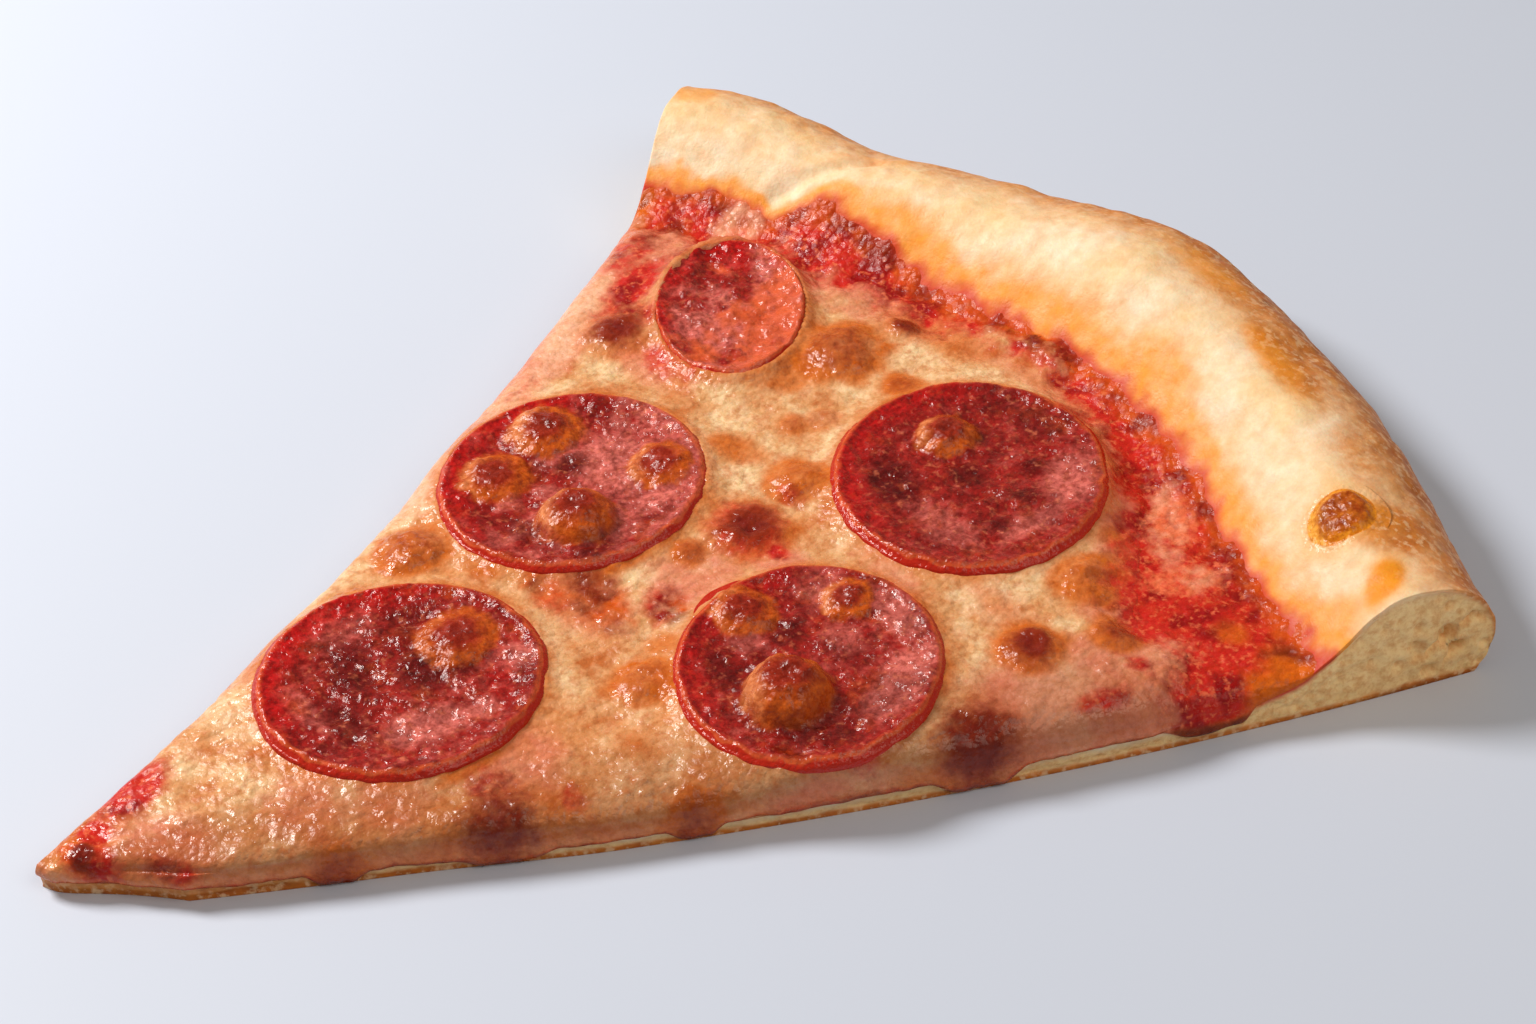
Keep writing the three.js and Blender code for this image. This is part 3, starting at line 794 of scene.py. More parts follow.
# pale milky cheese: some of these patches are painted highlight where the cheese catches the light, the rest
# cheese film and strands
glareAndMilkZones = [
    (-38, 107, 4, 12, 25, 0.55), (-31, 84, 5, 9, 25, 0.8), (-45, 121, 4, 8, 25, 0.8),
    (-44, 140, 1.6, 7, 25, 1.0), (-8, 18, 1.6, 8, 15, 0.8), (63, 122, 7, 6, -20, 0.5),
    (46, 160, 7, 4, -35, 0.7), (56, 152, 4, 7, -30, 0.6), (-14, 44, 3, 8, 20, 0.4),
    (-52, 128, 4, 8, 25, 0.7), (44, 128, 5, 4, -20, 0.4), (5, 111, 2, 4, 20, 0.5),
]
grainyZones = [  # where the cheese is broken up into fine grains
    (3, 88, 14, 7, -10, 1.0), (-45, 136, 7, 12, 30, 0.9), (56, 136, 10, 12, -20, 1.0),
    (5, 112, 10, 7, 0, 0.8), (-12, 30, 8, 20, 20, 0.7), (33, 160, 16, 6, -20, 0.8),
    (-12, 75, 8, 5, 0, 0.7), (16, 98, 6, 6, 0, 0.6),
]
darkSpot = (0.4, 11.4, 1.9)  # x, y and radius of the burnt spot at the tip


def toppingPaintGroup():
    c, patch = {**cheeseColours, **sauceColours}, toppingBlotches
    labels = ("Pink", "Amber", "Brown", "Red", "Oil", "Deep", "Pale", "Shade")
    group, given, out = paintGroup("toppingPaint", *labels)
    wide = noiseIn(group, 8.0, 4.0, 0.6)
    colour = paint(group, c["tan"], c["base"], spreadRange(group, wide, 0.34, 0.46))
    colour = paint(group, colour, c["pale"], spreadRange(group, wide, 0.48, 0.6))
    colour = flecks(group, colour, c["tan"], 1.9, 4.0, 0.5, 0.66, 0.55, roughness=0.65)
    # milk: pale cheese film, partly painted highlight
    for name, mask in (("pink", "Pink"), ("milkAndGlare", "Pale"), ("amber", "Amber")):
        colour = blotches(group, colour, c[name], given[mask], *patch[name])
    sauce = blotches(group, c["red"], c["deep"], given["Deep"], *patch["deep"])
    sauce = blotches(group, sauce, c["orange"], given["Pale"], *patch["orange"])
    sauce = flecks(group, sauce, c["orange"], 1.0, 3.0, 0.54, 0.68, 0.75)
    oil = blotches(group, c["oil"], c["ember"], given["Deep"], *patch["ember"])
    sauce = blotches(group, sauce, oil, given["Oil"], *patch["oil"])
    colour = blotches(group, colour, sauce, given["Red"], *patch["sauce"])
    for name in ("brown", "dark"):
        colour = blotches(group, colour, c[name], given["Brown"], *patch[name])
    colour = speckle(group, colour, 1.1, (0.9, 0.8, 0.66, 1), 1.08)
    # painted shade beside the right cut
    colour = paint(group, colour, rightShade, given["Shade"], "MULTIPLY")
    group.links.new(colour, out["Color"])
    return group


toppingPaint = toppingPaintGroup()

# Where each slice of pepperoni lies, and the blisters of the cheese

discShape = {
    "turn": math.radians(53), "thickness": 1.9, "cup": 0.9, "sink": 1.0, "cells": 92, "layers": 5,
    "lipHeight": 0.3, "lipAt": 0.94, "lipSpread": 0.035, "edgeDrop": 0.6, "wavy": 0.014,
    "wrinkleSize": 3.4, "bumpSize": 1.7, "ridgeSize": 4.5, "unevenSize": 11,
    "collarWidth": 2.2, "bare": 0.35, "near": 25,
}
# bright sets the crimson on the curled edge away from the light, partly painted shade; rose sets the rosy
# patches, partly painted sheen
discs = rowsOf(
    "x y across along wrinkle bright dark collar veil rose",
    (2.0, 59.2, 39.6, 38.9, 0.38, 1.0, 0.5, 1.25, 0.0, 0.2),
    (-16.0, 100.8, 39.4, 39.5, 0.34, 0.8, 0.3, 1.5, 0.0, 0.6),
    (-32.8, 143.2, 23.6, 35.8, 0.5, 0.8, 0.1, 1.8, 0.16, 0.8),
    (22.3, 143.1, 39.4, 43.0, 0.4, 0.75, 0.4, 1.35, 0.0, 0.15),
    (37.0, 101.3, 36.2, 39.2, 0.4, 0.6, 0.5, 1.35, 0.0, 0.2),
)
bareSide = Vector((0.8, -0.6))  # in plan, the side on which the edges of the slices stand free
veilSide = Vector((-0.95, -0.31))  # in plan, the side on which cheese runs over the edge of a slice
# Browned blisters: their height above the cheese, how much the middle caves in, how they are coloured,
# and whether the browned cheese hangs over the right cut
blisters = rowsOf(
    "x y radius height crater amber brown dark hangs",
    (-13.4, 148.9, 6.9, 2.2, 0.15, 1.0, 0.75, 0.1, 0),
    (-11.6, 160.9, 3.4, 1.2, 0.2, 0.5, 0.9, 0.9, 0),
    (5.8, 125.0, 4.6, 1.5, 0.1, 1.0, 0.35, 0.0, 0),
    (9.1, 113.5, 6.2, 1.5, 1.0, 0.7, 1.0, 0.9, 0),
    (-40.6, 127.3, 6.0, 1.6, 0.3, 0.5, 1.0, 0.8, 0),
    (-19.9, 75.7, 5.6, 1.8, 0.1, 1.0, 0.6, 0.1, 0),
    (24.0, 83.6, 4.6, 1.1, 0.2, 1.0, 0.5, 0.0, 0),
    (54.2, 125.6, 4.8, 1.5, 0.7, 0.9, 1.0, 0.8, 0),
    (49.5, 141.0, 5.2, 1.2, 0.2, 1.0, 0.3, 0.0, 0),
    (59.5, 136.3, 3.6, 1.1, 0.3, 0.9, 0.7, 0.5, 0),
    (32.2, 54.2, 6.8, 0.8, 0.2, 0.5, 1.0, 0.35, 1),
    (61.3, 109.4, 7.4, 0.7, 0.9, 0.3, 1.0, 0.6, 1),
    (24.6, 34.0, 4.6, 0.6, 0.1, 0.8, 0.8, 0.2, 1),
    (47.3, 74.2, 4.4, 0.6, 0.1, 1.0, 0.7, 0.2, 1),
    (7.1, 104.0, 2.5, 0.9, 0.1, 0.8, 0.7, 0.2, 0),
    (-0.6, 150.4, 3.2, 0.5, 0.0, 1.0, 0.6, 0.1, 0),
    (-2.9, 136.7, 2.8, 0.5, 0.0, 0.6, 0.5, 0.0, 0),
    (-5.0, 133.0, 2.2, 0.5, 0.1, 0.6, 0.5, 0.1, 0),
)


def setDisc(disc):  # the height of a slice's underside and its tilt
    u, r = polar(disc["x"], disc["y"])
    disc["bed"] = cheeseBed(u, r) + cheeseDepth(r) - discShape["sink"]
    disc["tilt"] = (doughHeight(r + 15) - doughHeight(r - 15)) / 30


def discRho(disc, x, y):  # 0 in the middle of a slice, 1 at its edge
    dx, dy = x - disc["x"], y - disc["y"]
    a = dx * math.cos(discShape["turn"]) + dy * math.sin(discShape["turn"])
    b = dy * math.cos(discShape["turn"]) - dx * math.sin(discShape["turn"])
    return math.hypot(2 * a / disc["across"], 2 * b / disc["along"])


def discUnder(disc, rho, y):
    return disc["bed"] + (y - disc["y"]) * disc["tilt"] + discShape["cup"] * ramp(rho, 0.55, 1)


def discTop(disc, rho, x, y):  # the wrinkled upper side of a slice
    s = discShape
    ridges = 1 - 2 * abs(grain(x * 1.2, y * 0.8, 30, s["ridgeSize"], 2))
    wrinkles = grain(x, y, 0, s["wrinkleSize"], 2) + 0.9 * (pebbles(x, y, 9, s["bumpSize"]) - 0.4)
    wrinkles += 0.5 * ridges
    bumps = disc["wrinkle"] * wrinkles * mix(0.15, 1, ramp(rho, 0.99, 0.9))
    bumps += 0.45 * disc["wrinkle"] * grain(x, y, disc["y"], s["unevenSize"], 2)
    lip = s["lipHeight"] * bell(rho, s["lipAt"], s["lipSpread"]) - s["edgeDrop"] * ramp(rho, 0.95, 1.0)
    return discUnder(disc, rho, y) + s["thickness"] + bumps + lip


for disc in discs:
    setDisc(disc)


def blisterParts(x, y):  # height and the amber, brown and dark masks of the blisters at a place
    height, amber, brown, dark = 0, 0, 0, 0
    for spot in blisters:
        dx, dy = x - spot["x"], y - spot["y"]
        if abs(dx) > 1.8 * spot["radius"] or abs(dy) > 1.8 * spot["radius"]:
            continue
        away = math.hypot(dx, dy) / spot["radius"] * (1 + 0.22 * grain(x, y, spot["x"], 4, 2))
        dome = 1 - ramp(away, 0.25, 1.15)
        height += spot["height"] * dome - spot["crater"] * bell(away, 0, 0.42)
        height += 0.3 * grain(x, y, 30, 1.9, 2) * dome
        amber = max(amber, 1.2 * spot["amber"] * ramp(away, 1.45, 0.8))
        brown = max(brown, spot["brown"] * ramp(away, 1.12, 0.45))
        dark = max(dark, spot["dark"] * ramp(away, 0.72, 0.15))
    return height, amber, brown, dark


# The surface of the toppings: cheese that thins out into the sauce, and sauce that thins out on the rim

toppingShape = {
    "lobes": 3.2, "lobeSize": 7, "thinFrom": 9, "thinTo": -3, "rounding": 4.5, "leastDepth": 0.3,
    "lumpHeight": 0.42, "lumpSize": 6.5, "grainHeight": 0.34, "grainSize": 1.9,
    "pitSize": 2.6, "pitDepth": 0.35, "pulpSize": 4.0, "pulpHeight": 0.14,
    "seedSize": 1.6, "seedHeight": 0.26, "pastEdge": 3.0, "fadeOver": 11.0, "buried": 0.6,
    "bulgeHeight": 5.5, "bulgeAt": -0.04, "bulgeSpread": 0.24,
}


def cheeseMargin(u, r, x, y):  # mm inside the ragged outer edge of the cheese
    s = toppingShape
    bulge = s["bulgeHeight"] * bell(u, s["bulgeAt"], s["bulgeSpread"])
    return cheeseEdge(u) + bulge - r + s["lobes"] * grain(x, y, 5, s["lobeSize"], 3)


def pulp(x, y):
    s = toppingShape
    seeds = pebbles(x, y, 0, s["seedSize"]) - 0.35
    return s["pulpHeight"] * grain(x, y, 0, s["pulpSize"], 2) + s["seedHeight"] * seeds


def nearDisc(disc, x, y):
    return max(abs(x - disc["x"]), abs(y - disc["y"])) < discShape["near"]


def besideDisc(disc, side, x, y):  # how far a place lies from the middle of a slice towards a side
    return (x - disc["x"]) * side.x + (y - disc["y"]) * side.y


def pressed(x, y, z):  # the toppings under and round the slices of pepperoni
    s = discShape
    for disc in discs:
        rho = discRho(disc, x, y) if nearDisc(disc, x, y) else 2
        if rho > 1.25:
            continue
        outside = (rho - 1) * disc["along"] / 2
        under = discUnder(disc, rho, y)
        collar = discUnder(disc, 1, y) + disc["collar"] + 0.25 * grain(x, y, 0, 3, 2)
        if not disc["veil"]:
            collar -= s["bare"] * ramp(besideDisc(disc, bareSide, x, y), 0, 14)
        rise = max(0, collar - z) * math.exp(-max(outside, 0) / s["collarWidth"])
        z = mix(z + rise, min(z, under + 0.25), ramp(rho, 0.985, 0.9))
        if disc["veil"] and rho < 1.02:
            side = besideDisc(disc, veilSide, x, y) / disc["across"] * 2
            start = 1 - disc["veil"] * ramp(side + 0.3 * grain(x, y, 2, 3, 2), 0.3, 0.95)
            z = max(z, mix(z, under + s["thickness"] + 0.35, ramp(rho, start, start + 0.1)))
    return z


def fatRing(x, y):  # amber fat round the slices of pepperoni
    ring = 0
    for disc in discs:
        if nearDisc(disc, x, y):
            outside = (discRho(disc, x, y) - 1) * disc["along"] / 2
            ring = max(ring, ramp(outside + 1.0 * grain(x, y, 8, 4, 2), 3.0, -0.6))
    return ring


def pitsAt(x, y):  # small pits in the cheese, some areas with and some without
    pits = max(0, 1 - cells(x, y, 60, toppingShape["pitSize"]) / 0.35)
    return pits * ramp(grain(x, y, 80, 16, 2), 0.0, 0.4)


def toppingTop(u, r, x, y):
    s = toppingShape
    rounded = mix(s["leastDepth"], 1, math.sqrt(1 - nearEdge(u, r, s["rounding"]) ** 2))
    cheesy = ramp(cheeseMargin(u, r, x, y), s["thinTo"], s["thinFrom"])
    cheese = 0
    if cheesy > 0:
        lumps = s["lumpHeight"] * grain(x, y, 0, s["lumpSize"], 2)
        wet = max(ramp(grain(x, y, 40, 14, 2), -0.25, 0.35), 1.6 * zoneMask(grainyZones, x, y))
        lumps += s["grainHeight"] * (pebbles(x, y, 20, s["grainSize"]) - 0.35) * mix(0.3, 1.0, wet)
        depth = cheeseDepth(r) + blisterParts(x, y)[0] + lumps - s["pitDepth"] * pitsAt(x, y)
        cheese = sauceLayer["depth"] + 2 * layerGap + depth * rounded
    thinned = ramp(pastSauce(u, r, x, y), s["pastEdge"], s["pastEdge"] - s["fadeOver"])
    sauce = (sauceLayer["outside"] + layerGap + pulp(x, y) * thinned * thinned) * rounded
    sauce = mix(-s["buried"], sauce, thinned)
    return pressed(x, y, crustTop(u, r, x, y) + mix(sauce, cheese, cheesy))


toppingBake = {  # how strongly each stain or patch shows, and where some of them start and are full
    "film": 0.75, "filmUneven": 0.6, "filmSize": 4, "underFilm": 0.6,
    "rosyFrom": 12, "rosyFull": 4, "rosyGap": 0.75, "rosyGapAt": 0.05, "rosyGapSpread": 0.3,
    "leftPink": 0.8, "leftFrom": -0.84, "leftFull": -0.97,
    # the amber along the right cut is painted shade
    "rightAmber": 0.25, "rightAmberTip": 0.35, "rightFrom": 16, "rightFull": 3,
    # the shade values place the painted shade beside the right cut
    "shade": 0.8, "shadeFrom": 16, "shadeFull": 5, "pits": 0.4, "rings": 0.75, "oilEdge": 0.75,
    # the deep colour in the hollows of the pulp is painted shade; the pale colour on its bumps is partly
    # painted highlight, partly orange pulp
    "deep": 0.85, "deepSize": 5, "deepHollowShade": 0.5, "paleBumpHighlight": 0.7, "paleFilm": 0.55,
}


def toppingMasks(u, r, x, y):  # two attributes: pink, amber (with painted shade along the right cut), brown, red, then oil, deep (with painted shade in the pulp's hollows), pale (partly painted highlight), crust
    b = toppingBake
    amber, brown, dark = blisterParts(x, y)[1:]
    margin = cheeseMargin(u, r, x, y)
    past = pastSauce(u, r, x, y)
    fromCut = r * halfAngleAt(r) * (1 - abs(u))
    bumps = pulp(x, y)
    # cheese as thin as a film over the sauce, then what the edge of the cheese and the two cuts take on
    film = zoneMask(pinkSauce, x, y) * (b["film"] + b["filmUneven"] * grain(x, y, 12, b["filmSize"], 3))
    rosy = ramp(margin, b["rosyFrom"], b["rosyFull"])
    rosy *= 1 - b["rosyGap"] * bell(u, b["rosyGapAt"], b["rosyGapSpread"])
    leftCut = b["leftPink"] * ramp(u, b["leftFrom"], b["leftFull"]) * ramp(y, 80, 110)
    # painted shade: amber along the right cut, where the surface rolls away from the light
    rightCutShade = b["rightAmber"] + b["rightAmberTip"] * ramp(y, 95, 75)
    rightCutShade *= ramp(fromCut, b["rightFrom"], b["rightFull"]) * ramp(u, 0.0, 0.3)
    pink = max(zoneMask(pinkZones, x, y), rosy, leftCut, film)
    spots = max(b["pits"] * pitsAt(x, y), b["rings"] * fatRing(x, y))
    amber = max(amber, zoneMask(amberZones, x, y), spots, rightCutShade)
    thin = ramp(margin + 2 * grain(x, y, 3, 3, 2), 7, -1.5)
    red = max(zoneMask(redZones, x, y), thin) * (1 - b["underFilm"] * film)
    spotX, spotY, spotRadius = darkSpot
    spot = ramp(math.hypot(x - spotX, y - spotY), spotRadius * 1.2, spotRadius * 0.5)
    oil = max(zoneMask(orangeSauce, x, y), b["oilEdge"] * ramp(past, -5, -1))
    oil = max(oil, ramp(r, 157, 161) * ramp(fromCut, 5, 1))
    deep = b["deep"] * ramp(grain(x, y, 7, b["deepSize"], 3), -0.2, 0.4)
    # painted shade: deeper red in the hollows of the pulp
    deep += b["deepHollowShade"] * ramp(-bumps, 0.0, 0.35)
    # partly painted highlight, partly orange pulp: paler on the tops of the bumps
    pale = b["paleBumpHighlight"] * ramp(bumps, 0.03, 0.3) * min(1, 3 * red)
    pale = max(pale, zoneMask(glareAndMilkZones, x, y), b["paleFilm"] * film)
    return pink, amber, max(brown * 0.5 + 0.5 * dark, spot), red, oil, deep, pale, ramp(past, -3, 1.5)


def edgeShade(u, r):  # painted shade: the toppings are darkened along the right cut, where the surface rolls away from the light
    b = toppingBake
    near = ramp(r * halfAngleAt(r) * (1 - u), b["shadeFrom"], b["shadeFull"])
    return b["shade"] * near * ramp(u, 0.0, 0.3) * ramp(r, 150, 138)


def cutNormal(u, r, atTip):  # which way a cut, or the blunt tip, faces in plan
    if atTip:
        ahead = Vector(inPlan(min(u + 0.02, 1), tipRadius(min(u + 0.02, 1))))
        behind = Vector(inPlan(max(u - 0.02, -1), tipRadius(max(u - 0.02, -1))))
        along = (ahead - behind).normalized()
        return along.y, -along.x
    angle = u * halfAngleAt(r)
    return math.copysign(math.cos(angle), u), -abs(math.sin(angle))


def overhang(w):  # how far a wall stands out: nothing at its top, most a third of the way up
    return math.sin(0.75 * math.pi * (1 - w))


# The sauce: it shows along the rim, and it ran down the right cut beside the rim

sauceShape = {
    "columns": 36, "innerRows": 10, "outerRows": 8, "cuts": 9, "wallCuts": 7, "bandFrom": 138, "sink": 0.25,
    "grow": 5.0, "covered": 1.0, "dripFrom": 143.5, "dripUntil": 160.5, "dripFoot": 1.7, "dripBulge": 0.55,
}
sauceFinish = {
    "shader": {"Subsurface Weight": 0.03, "Subsurface Scale": 0.001, "Specular IOR Level": 0.22},
    "shine": (1.2, 0.35, 0.65, 0.22, 0.46), "relief": (1.3, 0.24, 0.4, 0.06, 1.2, 0.24),
    "crustRoughness": 0.55,
}


def dripAt(r, w):  # 1 where the sauce ran down the right cut
    s = sauceShape
    start = s["dripFrom"] + 3 * (1 - w)
    return ramp(r, start, start + 4) * ramp(r, s["dripUntil"], s["dripUntil"] - 2.5)


def saucePlace(t, row, w):
    s = sauceShape
    u = towardsCuts(t)
    if row <= s["innerRows"]:
        r = mix(tipRadius(u), s["bandFrom"], row / s["innerRows"])
    else:
        r = mix(s["bandFrom"], sauceEdge(u) + s["grow"], (row - s["innerRows"]) / s["outerRows"])
    x, y = inPlan(u, r)
    ground = crustHeight(u, r)
    top = toppingTop(u, r, x, y)
    top = mix(top, min(top, ground + s["covered"]), ramp(cheeseMargin(u, r, x, y), 0.3, 2.3))
    bed = min(ground - s["sink"], top - 0.2)
    drip = dripAt(r, w) if atCut(t) and t > 0 else 0
    foot = s["dripFoot"] + 0.5 * grain(r, 0, 0, 5, 2)
    z = mix(mix(bed, min(bed, foot), drip), top, w)
    down = 0
    if atCut(t):
        nx, ny = cutNormal(u, r, False)
        down = top - z
        push = s["dripBulge"] * drip * overhang(w)
        x, y = x + nx * push, y + ny * push
        masks = toppingMasks(u, r, x + nx * down, y + ny * down)
    else:
        masks = toppingMasks(u, r, x, y)
    ember = drip * ramp(down, 0.3, 1.2)
    oily = (max(masks[4], ember), mix(masks[5], 0.85, ember), masks[6] * (1 - ember), masks[7] * (1 - drip))
    return (x, y, z), (*masks[:4], *oily, *crustMasks(u, r, x, y, 9, 0))


def sauceMaterial():
    material, tree, shader = newMaterial("tomatoSauce", sauceFinish["shader"])
    pulpy = masksOf(tree, "pulp")
    topping = paintWith(tree, toppingPaint, [*masksOf(tree, "melt"), *pulpy[:3]])
    colour = paint(tree, topping, paintWith(tree, crustPaint, masksOf(tree, "baking")), pulpy[3])
    crusty = combine(tree, "MULTIPLY", pulpy[3], sauceFinish["crustRoughness"])
    roughness = combine(tree, "MAXIMUM", unevenShine(tree, *sauceFinish["shine"]), crusty)
    finishShader(tree, shader, colour, roughness, relief(tree, *sauceFinish["relief"]))
    return material


def buildSauce():
    s = sauceShape
    rows = s["innerRows"] + s["outerRows"]
    bm = startBlock(s["columns"], rows)
    refine(bm, s["wallCuts"], upright)
    refine(bm, s["cuts"], lambda a, b: inSkin(a, b, rows, s["innerRows"]))
    refine(bm, s["cuts"], lambda a, b: alongCut(a, b, s["innerRows"]))
    attributes = ["melt", "pulp", "baking"]
    finishPiece("sauce_layer", bm, saucePlace, sauceMaterial(), ["sauce"], attributes)


buildSauce()

# The cheese

cheeseShape = {
    "columns": 24, "rows": 32, "cuts": 9, "wallCuts": 6, "grow": 8, "dip": 1.2, "bedRise": 0.5,
    "lowEdge": 0.85, "lowSlope": 0.0165, "lowWaves": 0.4, "lowTip": 2.3, "hangFoot": 0.5, "bulge": 0.7,
}
cheeseFinish = {
    "shader": {"Subsurface Weight": 0.06, "Subsurface Scale": 0.001, "Specular IOR Level": 0.32},
    "shine": (2.4, 0.35, 0.65, 0.22, 0.44), "relief": (1.4, 0.24, 0.45, 0.06, 1.1, 0.16), "oilShine": 0.12,
}


def hangAt(r):  # 1 where browned cheese ran down the right cut
    hang = 0
    for spot in blisters:
        if spot["hangs"]:
            away = abs(r - polar(spot["x"], spot["y"])[1]) / spot["radius"]
            hang = max(hang, ramp(away, 0.95, 0.4))
    return hang


def cheesePlace(t, row, w):
    s = cheeseShape
    u = towardsCuts(t)
    r = mix(tipRadius(u), cheeseEdge(u) + s["grow"], row / s["rows"])
    x, y = inPlan(u, r)
    margin = cheeseMargin(u, r, x, y)
    top = toppingTop(u, r, x, y) - s["dip"] * ramp(margin, -0.3, -2.3) + 0.03
    bed = min(crustHeight(u, r) + s["bedRise"], top - 0.2)
    z = mix(bed, top, w)
    atTip = row < hair
    if not (atCut(t) or atTip):
        return (x, y, z), (*toppingMasks(u, r, x, y)[:7], edgeShade(u, r))
    inside = ramp(margin, 0, 3)
    hang = hangAt(r) * inside if t > 0.99 else 0
    low = mix(s["lowTip"], s["lowEdge"] + s["lowSlope"] * r, ramp(r, 25, 60))
    low = min(bed, low + s["lowWaves"] * grain(r, 9 * u, row, 5, 3))
    low = mix(mix(bed, low, inside), s["hangFoot"] + 0.2 * grain(r, 4, 0, 2, 2), hang)
    z = mix(low, top, w)
    nx, ny = cutNormal(u, r, atTip)
    push = s["bulge"] * overhang(w) * (0.8 + 0.5 * grain(r, u, w, 3, 2)) * inside
    down = top - z
    masks = toppingMasks(u, r, x + nx * down, y + ny * down)
    lip = ramp(w, 0.4, 0.05)
    pink, amber, brown, red = masks[:4]
    edge = (max(pink, 0.7 - 0.3 * w), max(amber, 0.9 * lip, 0.4 * hang), brown, max(red, 0.55 * lip))
    return (x + nx * push, y + ny * push, z), (*edge, *masks[4:7], edgeShade(u, r) * ramp(w, 0.2, 1))


def cheeseMaterial():
    material, tree, shader = newMaterial("bakedCheese", cheeseFinish["shader"])
    melt = masksOf(tree, "melt")
    colour = paintWith(tree, toppingPaint, [*melt, *masksOf(tree, "pulp")])
    oily = combine(tree, "MULTIPLY", melt[1], cheeseFinish["oilShine"])
    roughness = combine(tree, "SUBTRACT", unevenShine(tree, *cheeseFinish["shine"]), oily)
    finishShader(tree, shader, colour, roughness, relief(tree, *cheeseFinish["relief"]))
    return material


def buildCheese():
    s = cheeseShape
    bm = startBlock(s["columns"], s["rows"])
    refine(bm, s["wallCuts"], upright)
    refine(bm, s["cuts"], lambda a, b: inSkin(a, b, s["rows"], 0))
    attributes = ["melt", "pulp"]
    finishPiece("cheese_layer", bm, cheesePlace, cheeseMaterial(), ["cheese"], attributes)


buildCheese()

# The pepperoni

pepperoniColours = {
    # rose is partly painted sheen, crimson partly painted shade
    "meat": tint(156, 30, 24), "rose": tint(208, 108, 98), "maroon": tint(88, 6, 4),
    "fat": tint(218, 124, 88), "edge": tint(182, 34, 14), "veil": tint(218, 92, 44),
    "crimson": tint(184, 6, 8), "rust": tint(164, 58, 14),
}
curedBlotches = {  # patch size, spread, softness of the edge, then gain and cover
    "rose": (1.6, 1.1, 0.4), "maroon": (3.0, 0.8, 0.6), "crimson": (3.0, 0.5, 0.5, 1.0, 0.85),
    "veil": (1.8, 0.9, 0.45, 0.85),
}
pepperoniFinish = {
    "shader": {"Subsurface Weight": 0.03, "Subsurface Scale": 0.0008, "Specular IOR Level": 0.32},
    "shine": (0.9, 0.35, 0.65, 0.12, 0.3), "relief": (1.1, 0.24, 0.4, 0.07, 0.8, 0.12),
}
darkMeat = [
    (2, 63, 6, 4, -20, 1.0), (-4, 55, 7, 4, -20, 0.9), (4, 49, 7, 3, 0, 0.8), (-8, 67, 4, 4, 0, 0.7),
    (5, 67, 3, 3, 0, 0.9), (-19, 103, 2.4, 3, 0, 1.0), (-22, 97, 3, 4, 0, 0.7), (-1, 94, 3, 5, 20, 0.9),
    (-27, 113, 4, 3, 30, 0.7), (-18, 86, 3, 1.6, 0, 0.8), (16, 134, 7, 4, -20, 1.0),
    (20, 158, 5, 3, 0, 0.7), (27, 151, 2, 2, 0, 1.0), (31, 146, 2, 2, 0, 1.0),
    (22, 143, 2.5, 2.5, 0, 1.0), (17, 150, 2, 2, 0, 0.9), (33, 139, 2, 2, 0, 0.9),
    (12, 157, 4, 4, 0, 0.7), (38, 106, 5, 2, 0, 0.5), (-12, 89, 5, 2.4, 0, 0.7),
    (30, 92, 6, 2.5, -10, 0.9), (50, 95, 2.5, 4, -20, 0.8), (30, 103, 3, 3, 0, 0.9),
    (46, 92, 4, 3, 20, 0.9), (-46, 150, 3, 6, 25, 0.8), (22, 143, 4, 3, 0, 0.9),
]
# rosy patches of the meat, some of them painted sheen where the cupped slices face the light
roseMeatAndSheen = [
    (12, 57, 4, 7, -15, 1.0), (14, 64, 2.4, 3, 0, 0.9), (9, 73, 3, 4, -30, 1.0), (-2, 46, 8, 2, 0, 0.6),
    (-14, 108, 9, 7, 0, 1.0), (-18, 118, 7, 2.5, 0, 0.8), (-4, 108, 3, 6, 0, 0.9),
    (-22, 104, 4, 3, 0, 0.7), (-36, 155, 5, 4, -30, 1.1), (-27, 150, 4, 6, 30, 1.1),
    (-30, 138, 8, 5, 20, 0.9), (33, 153, 5, 7, 35, 0.8), (36, 143, 3, 7, 0, 0.7), (28, 133, 8, 4, 0, 0.6),
    (48, 108, 4, 9, 20, 1.1), (38, 116, 7, 3, -10, 0.9), (27, 112, 5, 4, 0, 0.8), (-12, 58, 5, 6, 0, 0.5),
    (28, 98, 3, 3, 0, 0.7), (36, 108, 4, 3, 0, 0.6),
]
crimsonMeat = [(-44, 152, 4, 5, 30, 0.9), (-38, 158, 5, 3, -20, 0.7), (10, 70, 5, 2, -40, 0.5)]
shadedRedSide = Vector((-0.80, -0.35)).normalized()  # in plan, where the curled edge is reddest: the side away from the light, so partly painted shade


def toDisc(x, row, count):  # a place on a square block moved onto a disc of radius 1
    a, b = x, 2 * row / count - 1
    return a * math.sqrt(1 - b * b / 2), b * math.sqrt(1 - a * a / 2)


